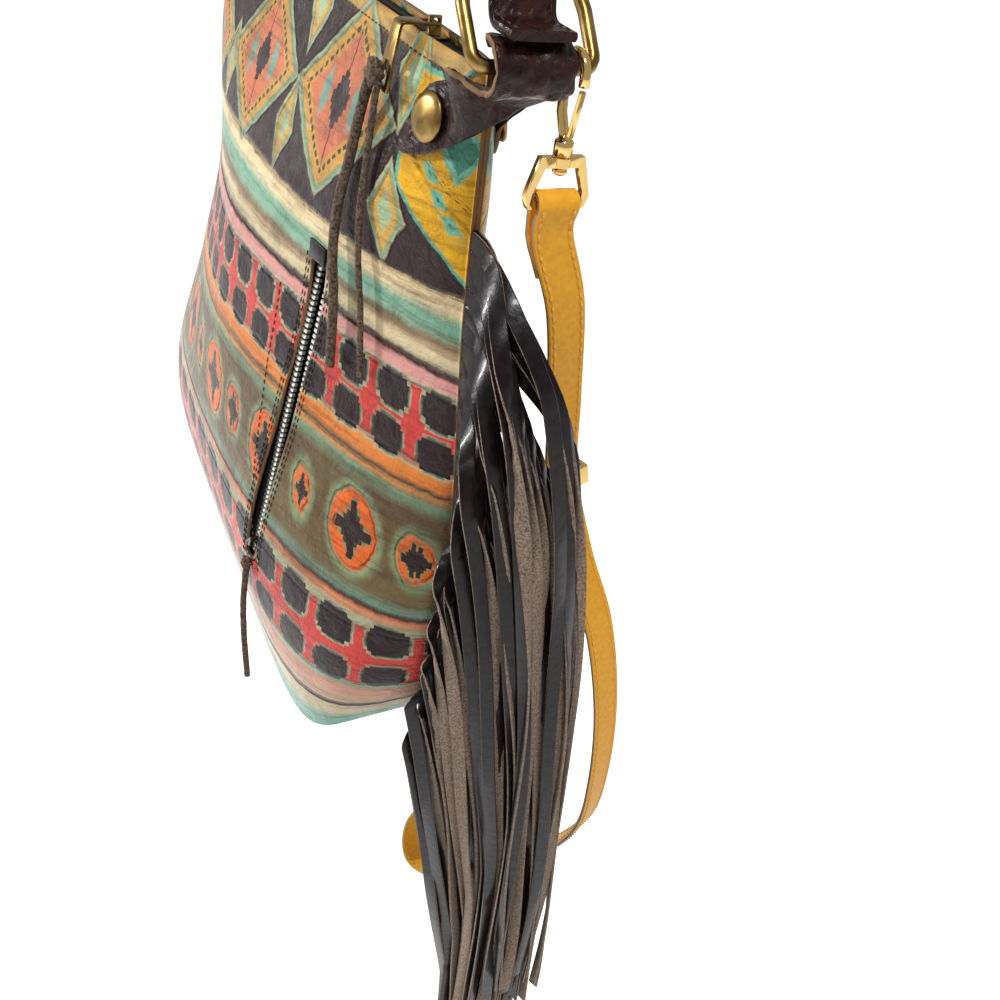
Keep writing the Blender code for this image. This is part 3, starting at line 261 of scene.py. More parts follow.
for name, body, at, size in (
    ("top_lace_knot", "top_pull", (0.1185, -0.0212, -0.0150), (0.0042, 0.0032, 0.0048)),
    ("front_lace_knot", "front_pull", (0.0901, -0.0648, -0.2548), (0.0030, 0.0026, 0.0036)),
):
    bm = bmesh.new()
    bmesh.ops.create_icosphere(bm, subdivisions=4, radius=1.0)
    for vert in bm.verts:
        ridge = KNOT_RIDGE * math.sin(vert.co.z * 7 + 2.2 * math.atan2(vert.co.y, vert.co.x))
        vert.co = vert.co * (1 + ridge + KNOT_UNEVEN * noise.noise(vert.co * 3))
        vert.co = Vector([part * reach for part, reach in zip(vert.co, size)]) + Vector(at) + TOP_EDGE
    finished(name, bm, [suede], body)

# Pouch: two halves of thick cowhide, embossed with bands, diamonds and stepped figures and painted by hand.
# They are sewn edge to edge at the sides and the base. The mouth is left open for its zip, and the front
# half has a slot cut in it for the pocket's zip.

BAG_HEIGHT = 0.338
LEATHER = 0.0016
SEAM_GAP = 0.00015
SEAM_EDGE = LEATHER + SEAM_GAP
# Half the width, half the depth and the roundness of the section, at even levels from the mouth to the base
HALF_WIDTHS = (0.169, 0.171, 0.182, 0.187, 0.168)
HALF_DEPTHS = (0.0065, 0.037, 0.0565, 0.066, 0.050)
FACE_POWERS = (8.0, 2.2, 1.7, 3.0, 5.5)
TURN_POWERS = (0.50, 0.75, 0.65, 0.41, 0.16)
# The base's corners are drawn up by CORNER_LIFT, starting at the share LIFT_START of the height
CORNER_LIFT = 0.040
LIFT_START = 0.6


def level_value(levels, s):
    """A smooth value between evenly spaced levels, s from 0 at the top edge to 1 at the base."""
    last = len(levels) - 1
    at = min(max(s, 0.0), 1.0) * last
    k = min(int(at), last - 1)
    t = at - k
    before = levels[k - 1] if k > 0 else levels[k]
    after = levels[k + 2] if k + 2 <= last else levels[k + 1]
    slope_in = (levels[k + 1] - before) / (2 if k > 0 else 1)
    slope_out = (after - levels[k]) / (2 if k + 2 <= last else 1)
    ends = (2 * t**3 - 3 * t**2 + 1) * levels[k] + (3 * t**2 - 2 * t**3) * levels[k + 1]
    return ends + (t**3 - 2 * t**2 + t) * slope_in + (t**3 - t**2) * slope_out


def panel_point(c, s, side):
    """A point of a panel's outside; c runs from -1 to 1 across, side is -1 on the front."""
    share = max(1.0 - abs(c) ** level_value(FACE_POWERS, s), 0.0) ** level_value(TURN_POWERS, s)
    lift = CORNER_LIFT * max((s - LIFT_START) / (1 - LIFT_START), 0.0) ** 2 * abs(c) ** 6
    depth = max(level_value(HALF_DEPTHS, s) * share, SEAM_EDGE)
    return Vector((level_value(HALF_WIDTHS, s) * c, side * depth, BAG_TOP - BAG_HEIGHT * s + lift))


# Painted leather: vegetable-tanned hide, embossed, painted by brush and rubbed with wax. It is glossy in
# uneven patches, with fine grain, sharp creases and a dark wash in clouds and streaks.
wax_coat = {"Coat_Weight": 0.08, "Coat_Roughness": 0.08}
painted, painted_shader = new_material(
    "painted_embossed_leather", "#8a5a40", 0.36, Specular_IOR_Level=0.14, **wax_coat
)


def calc(operation, a, b=0.0, c=0.0):
    """One step of arithmetic in the painted leather."""
    return add_node(painted, "ShaderNodeMath", {0: a, 1: b, 2: c}, operation=operation).outputs[0]


def away(value, centre):
    """How far a value is from a centre."""
    return calc("ABSOLUTE", calc("SUBTRACT", value, centre))


def repeated(value, centre, period):
    """How far a value is from the nearest of evenly repeated centres."""
    return calc("ABSOLUTE", calc("WRAP", calc("SUBTRACT", value, centre), period / 2, -period / 2))


def lozenge(du, dv, half_u, half_v):
    """Distance outside a diamond shape, in mm, roughly."""
    total = calc("ADD", calc("DIVIDE", du, half_u), calc("DIVIDE", dv, half_v))
    return calc("MULTIPLY", calc("SUBTRACT", total, 1.0), half_u * half_v / math.hypot(half_u, half_v))


def stepped(value, step):
    """A distance rounded down to whole steps, for the stair edges of woven figures."""
    return calc("SNAP", value, step)


def inside(distance, reach=0.0, soft=0.5):
    """A mask, 1 where a distance is under its reach."""
    links = {"Value": distance, "From Min": reach + soft / 2, "From Max": reach - soft / 2}
    return add_node(painted, "ShaderNodeMapRange", links, interpolation_type="SMOOTHSTEP").outputs[0]


def paint(colour, mask, code):
    """A colour laid over the ones below where the mask is 1."""
    return add_node(
        painted, "ShaderNodeMix", {0: mask, 6: colour, 7: linear(code)}, data_type="RGBA"
    ).outputs[2]


# Each half's pattern is laid by two measures in mm, across the face from one seam and down from the mouth.
# Brush and tool wander, so every edge wavers by up to half of WAVER.
WAVER = 3.6
PATTERN_HEIGHT = 338.0
hide_place = add_node(painted, "ShaderNodeTexCoord").outputs["Object"]
wander = {"Vector": hide_place, "Scale": 95.0, "Detail": 3.0, "Roughness": 0.65}
wander = add_node(painted, "ShaderNodeTexNoise", wander).outputs["Color"]
wander = add_node(painted, "ShaderNodeSeparateColor", {"Color": wander})
u = add_node(painted, "ShaderNodeAttribute", attribute_name="across").outputs["Fac"]
v = add_node(painted, "ShaderNodeAttribute", attribute_name="down").outputs["Fac"]
u = calc("ADD", u, calc("MULTIPLY_ADD", wander.outputs[0], WAVER, -WAVER / 2))
v = calc("ADD", v, calc("MULTIPLY_ADD", wander.outputs[1], WAVER, -WAVER / 2))

# Bands of paint, each from its share of the height down to the next; two ramps, as one holds 32 colours
LOWER_START = 0.806
UPPER_BANDS = (
    (0.000, "#c0944a"), (0.016, "#a98c4e"), (0.020, "#1f0c0d"), (0.232, "#270f13"), (0.237, "#d9bf90"),
    (0.254, "#e2cda0"), (0.268, "#6fa58c"), (0.284, "#86ac90"), (0.296, "#7c5a3c"), (0.310, "#d8c49a"),
    (0.322, "#bcae8c"), (0.326, "#33201c"), (0.332, "#4c2a24"), (0.335, "#cf8f86"), (0.350, "#d0968c"),
    (0.354, "#98b092"), (0.359, "#c93a34"), (0.447, "#cc4038"), (0.452, "#9ab08c"), (0.457, "#d87f34"),
    (0.474, "#cc7230"), (0.479, "#36462f"), (0.486, "#c87c3a"), (0.495, "#6f8c6c"), (0.515, "#5c482b"),
    (0.640, "#6a5836"), (0.656, "#6f8c74"), (0.664, "#33201c"), (0.671, "#d07c54"), (0.690, "#8ca888"),
    (0.697, "#cc3f38"), (0.806, "#cc3f38"),
)
LOWER_BANDS = (
    (0.806, "#cc3f38"), (0.812, "#80b094"), (0.826, "#cc907c"), (0.874, "#c9a88a"), (0.882, "#33201c"),
    (0.889, "#33201c"), (0.896, "#d2c098"), (0.925, "#cbb992"), (0.950, "#76b096"), (1.0, "#68a890"),
)
share = calc("DIVIDE", v, PATTERN_HEIGHT)
bands = []
for stops in (UPPER_BANDS, LOWER_BANDS):
    ramp = add_node(painted, "ShaderNodeValToRGB", {"Fac": share})
    while len(ramp.color_ramp.elements) < len(stops):
        ramp.color_ramp.elements.new(0.5)
    for element, (position, code) in zip(ramp.color_ramp.elements, stops):
        element.position = position
        element.color = linear(code)
    bands.append(ramp.outputs["Color"])
below = calc("GREATER_THAN", share, LOWER_START)
colour = add_node(painted, "ShaderNodeMix", {0: below, 6: bands[0], 7: bands[1]}, data_type="RGBA").outputs[2]

# Diamonds in a slanting row across the top, with small ones between them and dashes tooled inside their
# borders. Each has a dark line painted down its middle as the shade of a crease, a dark heart with
# stair-cut edges and two turquoise patches.
ROW_DOWN = 36.0
ROW_SLANT = 0.10
DIAMOND_ACROSS = 96.0
DIAMOND_PITCH = 104.0
SMALL_ACROSS = 42.0
SMALL_DOWN = 24.0
DASH_PITCH = 4.4
DASH_SHARE = 0.62
slant = calc("MULTIPLY_ADD", u, ROW_SLANT, -ROW_SLANT * DIAMOND_ACROSS)
slant_v = calc("ABSOLUTE", calc("SUBTRACT", calc("SUBTRACT", v, ROW_DOWN), slant))
diamond_u = repeated(u, DIAMOND_ACROSS, DIAMOND_PITCH)
diamond = lozenge(diamond_u, slant_v, 50.0, 36.0)
small_u = repeated(u, SMALL_ACROSS, DIAMOND_PITCH)
small = lozenge(small_u, away(away(v, ROW_DOWN), SMALL_DOWN), 11.0, 18.0)
along_border = calc("SUBTRACT", calc("MULTIPLY", diamond_u, 0.81), calc("MULTIPLY", slant_v, 0.58))
dashes = calc("LESS_THAN", calc("FRACT", calc("DIVIDE", along_border, DASH_PITCH)), DASH_SHARE)
stitch = calc("MULTIPLY", inside(away(diamond, -7.2), 0.75, 0.4), dashes)
crease_shade = calc("MULTIPLY", inside(diamond_u, 0.45, 0.3), inside(diamond, -9.0, 0.4))
heart = lozenge(stepped(diamond_u, 2.2), stepped(slant_v, 2.6), 7.5, 9.5)
patches = calc("ADD", calc("DIVIDE", away(diamond_u, 16.0), 5.0), calc("DIVIDE", away(slant_v, 2.0), 9.0))
# The first entry of each shape is its pale outer rim, a painted highlight along the raised border
for distance, reach, soft, code in (
    (small, 1.2, 1.0, "#b5ab80"), (small, 0.2, 1.2, "#7fa284"), (small, -1.4, 1.6, "#cfa043"),
    (small, -4.8, 2.6, "#a3b890"),
    (diamond, 1.4, 1.0, "#a9a27c"), (diamond, 0.2, 1.2, "#6f9a7e"), (diamond, -2.0, 2.0, "#c3913f"),
    (diamond, -9.5, 3.0, "#c66f48"),
):
    colour = paint(colour, inside(distance, reach, soft), code)
colour = paint(colour, calc("MULTIPLY", inside(patches, 0.9, 0.6), inside(diamond, -9.5, 1.0)), "#6f9c8a")
colour = paint(colour, stitch, "#3a4430")
# Painted shade: a dark line down each diamond's middle, where the leather creases
colour = paint(colour, crease_shade, "#4b2b20")
colour = paint(colour, inside(heart, 0.0, 0.4), "#220e0e")

# Yellow corner by the seam, cut off by a slanting line, with a turquoise edge, a slanting column of
# turquoise spots and one turquoise diamond
corner = calc("SUBTRACT", calc("MULTIPLY_ADD", u, 0.72, v), 73.0)
corner = calc("MAXIMUM", corner, calc("SUBTRACT", u, 37.0))
corner = calc("MAXIMUM", corner, calc("SUBTRACT", 9.0, v))
colour = paint(colour, inside(corner, 1.6, 1.0), "#5fae96")
colour = paint(colour, inside(corner, -0.4, 1.2), "#e3a912")
spot_u = calc("ABSOLUTE", calc("MULTIPLY_ADD", v, 0.70, calc("SUBTRACT", u, 46.0)))
spots = calc("MAXIMUM", calc("SUBTRACT", spot_u, 2.0), calc("SUBTRACT", repeated(v, 30.0, 8.0), 1.9))
spots = calc("MAXIMUM", spots, calc("SUBTRACT", away(v, 42.0), 16.0))
spots = calc("MINIMUM", spots, lozenge(away(u, 7.0), away(v, 27.0), 9.0, 11.0))
colour = paint(colour, inside(spots, 1.0, 1.2), "#74b89c")
colour = paint(colour, inside(spots, -1.2, 0.6), "#42806e")

# Rows of dark blocks with stair-cut corners, hanging from and standing on the edges of the red bands:
# middle of the row, first block, pitch, and half the width and height of a block
CORNER_CUT = 5.8
blocks = None
for centre, start, period, half_u, half_v in (
    (127.6, 8.0, 25.5, 8.8, 7.6), (146.6, 9.0, 25.5, 8.8, 7.0), (240.6, 24.0, 28.0, 10.0, 8.6),
    (265.4, 24.0, 28.0, 10.0, 8.2),
):
    du = repeated(u, start, period)
    dv = away(v, centre)
    cut = calc("ADD", stepped(du, 2.4), stepped(dv, 2.2))
    block = calc("MAXIMUM", calc("SUBTRACT", du, half_u), calc("SUBTRACT", dv, half_v))
    block = calc("MAXIMUM", block, calc("SUBTRACT", cut, half_u + half_v - CORNER_CUT))
    blocks = block if blocks is None else calc("MINIMUM", blocks, block)
colour = paint(colour, inside(blocks, 1.4, 0.8), "#a3a586")
colour = paint(colour, inside(blocks, 0.5, 0.7), "#5c6c55")
colour = paint(colour, inside(blocks, -0.3, 0.5), "#220e12")

# Orange ovals on the brown band, each with a dark four-armed figure whose arms are cut in stairs: first
# oval, pitch, and half the width and height of an oval
OVAL_ROW = 195.0
STAIR_SHARE = 0.14
ARM_SHARE = 0.045
FIGURE_SHARE = 0.74
ovals, figures = None, None
for start, period, half_u, half_v in (
    (48.0, 72.0, 14.5, 17.0), (84.0, 72.0, 6.5, 10.0), (15.0, 144.0, 8.0, 11.0)
):
    du = repeated(u, start, period)
    dv = away(v, OVAL_ROW)
    square_u = calc("POWER", calc("DIVIDE", du, half_u), 2.0)
    square_v = calc("POWER", calc("DIVIDE", dv, half_v), 2.0)
    round_out = calc("SQRT", calc("ADD", square_u, square_v))
    oval = calc("MULTIPLY", calc("SUBTRACT", round_out, 1.0), half_u)
    arms = calc("MULTIPLY", stepped(du, half_u * STAIR_SHARE), stepped(dv, half_v * STAIR_SHARE))
    arms = calc("SUBTRACT", calc("DIVIDE", arms, half_u * half_v * ARM_SHARE), 1.0)
    figure = calc("MAXIMUM", arms, calc("MULTIPLY", calc("SUBTRACT", round_out, FIGURE_SHARE), half_u))
    ovals = oval if ovals is None else calc("MINIMUM", ovals, oval)
    figures = figure if figures is None else calc("MINIMUM", figures, figure)
colour = paint(colour, inside(ovals, 3.0, 4.5), "#7d8f68")
colour = paint(colour, inside(ovals, 0.0, 2.6), "#e0641c")
colour = paint(colour, inside(figures, 0.7, 0.4), "#8f8a5c")
colour = paint(colour, inside(figures, 0.0, 0.4), "#220e0e")

# Wear: a brown wash in clouds and in long streaks across, and turquoise showing where the paint is rubbed
WASH_CODE = "#2e1a12"
clouds = {"Vector": hide_place, "Scale": 26.0, "Detail": 6.0, "Roughness": 0.68}
clouds = add_node(painted, "ShaderNodeTexNoise", clouds).outputs["Fac"]
streaks = add_node(
    painted, "ShaderNodeCombineXYZ", {0: calc("MULTIPLY", u, 0.010), 1: calc("MULTIPLY", v, 0.16)}
)
streaks = {"Vector": streaks.outputs[0], "Scale": 1.6, "Detail": 6.0, "Roughness": 0.7}
streaks = add_node(painted, "ShaderNodeTexNoise", streaks).outputs["Fac"]
for value, least, most, share, code in (
    (clouds, 0.50, 0.72, 0.50, WASH_CODE),
    (clouds, 0.44, 0.25, 0.14, "#7cae96"),
    (streaks, 0.48, 0.68, 0.62, WASH_CODE),
):
    links = {"Value": value, "From Min": least, "From Max": most, "To Max": share}
    colour = paint(colour, add_node(painted, "ShaderNodeMapRange", links).outputs[0], code)
painted.node_tree.links.new(colour, painted_shader.inputs["Base Color"])

# Embossing: borders stand up; blocks, figures, dashes and the lines between bands are pressed in, about
# 1.6 mm deep. Creases of a few millimetres and the hide's grain lie over them.
BAND_LINES = (79.5, 111.0, 121.0, 151.6, 163.0, 224.5, 236.0, 273.5, 299.5)
PRESSED = 0.9
height = calc("MULTIPLY", inside(calc("ABSOLUTE", diamond), 1.8, 2.4), 0.8)
height = calc("ADD", height, calc("MULTIPLY", inside(calc("ABSOLUTE", small), 1.6, 2.0), 0.7))
height = calc("SUBTRACT", height, stitch)
oval_edge = calc("ABSOLUTE", ovals)
for distance, reach, soft in (
    (blocks, 0.6, 1.6), (figures, 0.8, 1.4), (heart, 0.3, 1.6), (oval_edge, 0.9, 1.4)
):
    height = calc("SUBTRACT", height, calc("MULTIPLY", inside(distance, reach, soft), PRESSED))
for line in BAND_LINES:
    height = calc("SUBTRACT", height, inside(away(v, line), 0.8, 1.6))
creases = {"Vector": hide_place, "Scale": 120.0, "Detail": 7.0, "Roughness": 0.62, "Distortion": 0.6}
creases = add_node(painted, "ShaderNodeTexNoise", creases).outputs["Fac"]
grain = add_node(painted, "ShaderNodeTexVoronoi", {"Vector": hide_place, "Scale": 640.0}).outputs["Distance"]
relief = {"Height": height, "Strength": 1.0, "Distance": 0.0016}
relief = add_node(painted, "ShaderNodeBump", relief).outputs["Normal"]
relief = {"Height": creases, "Strength": 0.8, "Distance": 0.0024, "Normal": relief}
relief = add_node(painted, "ShaderNodeBump", relief).outputs["Normal"]
relief = {"Height": grain, "Strength": 0.35, "Distance": 0.0003, "Normal": relief}
relief = add_node(painted, "ShaderNodeBump", relief).outputs["Normal"]
painted.node_tree.links.new(relief, painted_shader.inputs["Normal"])
gloss = add_node(painted, "ShaderNodeMapRange", {"Value": creases, "To Min": 0.14, "To Max": 0.55}).outputs[0]
painted.node_tree.links.new(gloss, painted_shader.inputs["Roughness"])

# Cut edge: the hide's raw fibre, never painted, so it is matt tan brown
cut_edge, _ = new_material("raw_leather_edge", "#7d5c3a", 0.85)

# The halves: a fine grid bent to the pouch's face, whose last rows turn in to the seam of the base
FACE_SHARE = 0.93
BASE_TURN = 700.0
ARC_LEVELS = 100
ARC_STEPS = 120
SLOT_LEFT, SLOT_RIGHT = 0.084, 0.096
SLOT_TOP, SLOT_BOTTOM = BAG_TOP - 0.0985, BAG_TOP - 0.2520
panel_columns, panel_rows = ((170, 170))
for label, side in (("front", -1), ("back", 1)):

    def place(u, v, side=side):
        if v < FACE_SHARE:
            return panel_point(math.cos(math.pi * u), v / FACE_SHARE, side)
        point = panel_point(math.cos(math.pi * u), 1.0, side)
        left = 1 - (v - FACE_SHARE) / (1 - FACE_SHARE)
        point.y = side * (SEAM_GAP + (abs(point.y) - SEAM_GAP) * left)
        return point

    bm = laid_grid(panel_columns, panel_rows, place)
    across_layer = bm.verts.layers.float.new("across")
    down_layer = bm.verts.layers.float.new("down")
    uv = bm.loops.layers.uv["surface"]
    arcs = []
    for k in range(ARC_LEVELS + 1):
        s = k / ARC_LEVELS
        lengths, last = [0.0], panel_point(1.0, s, side)
        for i in range(1, ARC_STEPS + 1):
            here = panel_point(math.cos(math.pi * i / ARC_STEPS), s, side)
            lengths.append(lengths[-1] + (here - last).length)
            last = here
        arcs.append(lengths)
    for vert in bm.verts:
        u, v = vert.link_loops[0][uv].uv
        s = min(v / FACE_SHARE, 1.0)
        lengths = arcs[round(s * ARC_LEVELS)]
        at = u * ARC_STEPS
        i = min(int(at), ARC_STEPS - 1)
        vert[across_layer] = (lengths[i] + (lengths[i + 1] - lengths[i]) * (at - i)) * 1000
        vert[down_layer] = s * PATTERN_HEIGHT + max(v - FACE_SHARE, 0.0) * BASE_TURN
    if side > 0:
        bmesh.ops.reverse_faces(bm, faces=bm.faces)
    if side < 0:
        for point, normal in (
            ((SLOT_LEFT, 0, 0), (1, 0, 0)),
            ((SLOT_RIGHT, 0, 0), (1, 0, 0)),
            ((0, 0, SLOT_TOP), (0, 0, 1)),
            ((0, 0, SLOT_BOTTOM), (0, 0, 1)),
        ):
            whole = bm.verts[:] + bm.edges[:] + bm.faces[:]
            bmesh.ops.bisect_plane(bm, geom=whole, plane_co=point, plane_no=normal)
        slot = []
        for face in bm.faces:
            middle = face.calc_center_median()
            if SLOT_LEFT < middle.x < SLOT_RIGHT and SLOT_BOTTOM < middle.z < SLOT_TOP:
                slot.append(face)
        bmesh.ops.delete(bm, geom=slot, context="FACES")
    panel = finished(
        f"{label}_panel_leather", bm, [painted, cut_edge], "bag", [f"{label}_panel"]
    )
    wall = panel.modifiers.new("wall", "SOLIDIFY")
    wall.thickness = LEATHER
    wall.offset = -1.0
    wall.material_offset_rim = 1

# Metal trim: zip sliders and pulls, rivets, D-rings, snap hooks and strap loops, all cast metal, plated or
# darkened. The rivets are hammered through the tabs; rings, hooks and gates swing on their own bars.


def from_solid(node, name, material, body="bag", bevel=0.00025, smooth=math.radians(42)):
    """A piece whose shape is the plain solid's own, with its edges softened."""
    bm = bmesh.new()
    bm.from_mesh(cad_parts[node].data)
    bmesh.ops.remove_doubles(bm, verts=bm.verts, dist=0.000002)
    if bevel:
        bmesh.ops.dissolve_limit(bm, angle_limit=math.radians(2), verts=bm.verts, edges=bm.edges)
        sharp = [e for e in bm.edges if len(e.link_faces) == 2 and e.calc_face_angle(0) > math.radians(50)]
        bmesh.ops.bevel(
            bm,
            geom=sharp,
            offset=bevel,
            affect="EDGES",
            segments=2,
            profile=0.5,
            material=-1,
            clamp_overlap=True,
        )
    return finished(name, bm, [material], body, [node], smooth)


# Antique brass: cast, darkened and rubbed back, so it is satin and uneven
brass, brass_shader = new_material("antique_brass", "#a07c42", 0.34, 1.0)
tarnish = mottled(
    brass, brass_shader, {"Scale": 160.0, "Detail": 4.0}, ((0.3, "#6e5428"), (0.7, "#a88a52"))
)
brass_rough = add_node(brass, "ShaderNodeMapRange", {"Value": tarnish, "To Min": 0.24, "To Max": 0.44})
brass.node_tree.links.new(brass_rough.outputs[0], brass_shader.inputs["Roughness"])
# Light gold plate: polished before it is plated, mirror-like, pale yellow
gold, _ = new_material("light_gold_plate", "#e3c07a", 0.12, 1.0)
# Blackened nickel: dipped and brushed, a dim satin grey
dark_nickel, _ = new_material("blackened_nickel", "#6f685f", 0.32, 1.0)

from_solid("top_zip_slider", "top_slider_metal", brass, "top_slider")
from_solid("top_zip_pull", "top_pull_plate", brass, "top_pull", 0.00022)
from_solid("front_zip_slider", "front_slider_metal", dark_nickel, "front_slider")
from_solid("front_zip_pull", "front_pull_ring", dark_nickel, "front_pull", 0)
for label in ("right", "left"):
    from_solid(f"rivet_front_{label}", f"front_rivet_{label}", brass, "bag", 0)
    from_solid(f"rivet_back_{label}", f"back_rivet_{label}", brass, "bag", 0)
    from_solid(f"ring_{label}", f"d_ring_{label}", brass, f"ring_{label}", 0)
    from_solid(f"hook_{label}", f"snap_hook_{label}", gold, f"hook_{label}", 0)
    from_solid(f"gate_{label}", f"hook_gate_{label}", gold, f"gate_{label}", 0)
    from_solid(f"d_loop_{label}", f"strap_loop_{label}", gold, "bag", 0.0004)
from_solid("strap_adjuster", "strap_keeper", gold, "bag", 0.0005)

# Fringe: dark hide, two layers of thirty-six thongs sewn into the side seam, one pair at every pitch. They
# bend out over the seam, then hang, twist and swing a little to the back. The seam side of the hide is cut
# into a narrow strip that holds them together.

# Grain side: near-black, dyed through and waxed, with small bright highlights
hide, hide_shader = new_material(
    "dark_grain_leather", "#170f10", 0.34, Coat_Weight=0.06, Coat_Roughness=0.10, Specular_IOR_Level=0.16
)
hide_tones = ((0.3, "#0c0708"), (0.75, "#22171a"))
mottled(hide, hide_shader, {"Scale": 260.0, "Detail": 5.0}, hide_tones, (0.35, 0.0008))
# Flesh side: undyed fibre, grey-brown and matt; the fibres are drawn about 1 mm long so that they show
flesh, flesh_shader = new_material("flesh_side_suede", "#75655a", 0.95)
mottled(flesh, flesh_shader, {"Scale": 1100.0, "Detail": 2.0}, ((0.3, "#5a4a3e"), (0.7, "#a8927e")))

STRANDS = 36
STRAND_PITCH = 0.0068
STRAND_WIDTH = 0.0062
STRAND_THICKNESS = 0.0013
STRAND_LENGTH = 0.460
FRINGE_TOP = 0.056
LAYER_GAP = 0.0022
# The lowest thong hangs HANG_OUT from the middle of the bag, and each one above it HANG_STEP further out
HANG_OUT = 0.1875
HANG_STEP = 0.00085
LEAST_BEND = 0.00425
BEND_STEPS = 12
BEND_SHARE = 0.785
# How far the ends are spread to the front and back, swung to the back, and swung outwards
END_SPREAD = 0.018
GOLDEN_SHARE = 0.6180340
SWING_BACK = 0.090
SWING_OUT = 0.020
SWING_DEPTH = 0.250
GATHERED = 0.65
SWAY = 0.0016
TWIST = 2.4


def seam_x(z):
    """How far out the side seam is at a height below the bag's top edge."""
    last = panel_point(1.0, 0.0, -1)
    for k in range(1, 101):
        here = panel_point(1.0, k / 100, -1)
        if here.z - BAG_TOP <= z:
            t = (last.z - BAG_TOP - z) / (last.z - here.z)
            return last.x + (here.x - last.x) * t
        last = here
    return last.x


def swing(depth):
    """The share of the fringe's full swing at a depth below its top."""
    depth = max(depth, 0.0)
    return depth / (depth + SWING_DEPTH)


def strand_frames(i, layer, steps):
    """The middle, width and thickness directions of one thong, from the seam down to its end."""
    z0 = -(FRINGE_TOP + i * STRAND_PITCH)
    x0 = seam_x(z0) + 0.0015
    out = max(HANG_OUT + (STRANDS - 1 - i) * HANG_STEP - x0, LEAST_BEND)
    fall = out * 0.8 + 0.006
    y_end = END_SPREAD * (2 * math.fmod(0.5 + (i + layer * 17) * GOLDEN_SHARE, 1.0) - 1)
    begin = swing(-z0 - FRINGE_TOP)
    rest = STRAND_LENGTH - (out + fall) * BEND_SHARE
    chance = random.Random(100 + i + 50 * layer)
    phase, spin = chance.uniform(0, math.tau), chance.uniform(-1.0, 1.0)
    flip = math.pi if chance.random() < 0.5 else 0.0
    frames = []
    for k in range(steps + 1):
        t = min(k / BEND_STEPS, 1.0)
        angle = t * math.pi / 2
        gone = max(k - BEND_STEPS, 0) / (steps - BEND_STEPS)
        x = x0 + out * math.sin(angle)
        z = z0 - fall * (1 - math.cos(angle)) - rest * gone
        swung = swing(-z - FRINGE_TOP)
        gathered = begin * (1 - GATHERED * min((z0 - z) / SWING_DEPTH, 1.0))
        eased = t * t * (3 - 2 * t)
        y = y_end * eased + (layer - 0.5) * LAYER_GAP + SWING_BACK * (swung - gathered) * eased
        x += SWING_OUT * (swung - begin)
        sway = SWAY * min(gone * 3, 1.0)
        y += sway * math.sin(gone * 9 + phase)
        x += sway * 0.6 * math.cos(gone * 7 + phase * 2)
        twist = min(t / 0.7, 1.0) * math.pi / 2 + flip * min(max(k - 9, 0) / 9, 1.0)
        twist += gone * spin * TWIST + 0.5 * math.sin(gone * 7 + phase) * min(gone * 4, 1)
        side = Vector((math.sin(angle), 0.0, math.cos(angle)))
        across = Vector((0, 1, 0))
        wide = side * math.cos(twist) + across * math.sin(twist)
        thin = side * math.sin(twist) - across * math.cos(twist)
        frames.append((Vector((x, y, z + BAG_TOP)), wide, thin))
    return frames


def joined(whole, part):
    """Adds one bmesh to another and frees it."""
    mesh = bpy.data.meshes.new("part")
    part.to_mesh(mesh)
    part.free()
    whole.from_mesh(mesh)
    bpy.data.meshes.remove(mesh)


# A thong's section has cut corners; its grain lies on the three faces of one side
fringe = bmesh.new()
strand_steps = 44
for i in range(2 * STRANDS):
    frames = strand_frames(i // 2, i % 2, strand_steps)

    def place(u, v, frames=frames):
        centre, wide, thin = frames[round(v * strand_steps)]
        corner = round(u * 8) % 8
        a = (-1.0, -0.9, 0.9, 1.0, 1.0, 0.9, -0.9, -1.0)[corner] * STRAND_WIDTH / 2
        b = (-0.6, -1.0, -1.0, -0.6, 0.6, 1.0, 1.0, 0.6)[corner] * STRAND_THICKNESS / 2
        return centre + wide * a + thin * b

    bm = laid_grid(8, strand_steps, place, closed=True, capped=True)
    uv = bm.loops.layers.uv["surface"]
    for face in bm.faces:
        around = sum(loop[uv].uv.x for loop in face.loops) / len(face.loops)
        face.material_index = 0 if 0.5 < around < 0.875 else 1
    joined(fringe, bm)

HEADER_OUT = 0.0018
HEADER_IN = 0.009
header_low = -(FRINGE_TOP + (STRANDS - 1) * STRAND_PITCH + STRAND_WIDTH / 2)
header_high = -(FRINGE_TOP - STRAND_WIDTH / 2)


def header_place(u, v):
    """The strip in the seam that holds the thongs."""
    z = header_low + (header_high - header_low) * v
    corner = round(u * 4) % 4
    x = seam_x(z) + (HEADER_OUT if corner in (1, 2) else -HEADER_IN)
    y = STRAND_THICKNESS / 2 * (-1 if corner < 2 else 1)
    return Vector((x, y, z + BAG_TOP))


joined(fringe, laid_grid(4, 60, header_place, closed=True, capped=True))
finished("side_fringe", fringe, [hide, flesh], "bag", ["fringe_right"])

# Strap: one long belt of ochre leather that hangs from the loops at both ends of the mouth and falls in a
# bight behind the fringe. Each end is folded over its loop's bar, and both edges are stitched in ochre.

# Ochre leather: aniline-dyed and rolled smooth, soft satin, the dye a little uneven
yellow, yellow_shader = new_material("ochre_strap_leather", "#e0a010", 0.55)
yellow_tones = ((0.3, "#e09a10"), (0.7, "#f0ac18"))
mottled(yellow, yellow_shader, {"Scale": 420.0, "Detail": 4.0}, yellow_tones, (0.4, 0.0005))
# Edge paint: a rubbery grey-brown coat over the cut fibre
strap_edge, _ = new_material("painted_strap_edge", "#7a6e66", 0.6)

STRAP_WIDTH = 0.0155
STRAP_THICKNESS = 0.0022
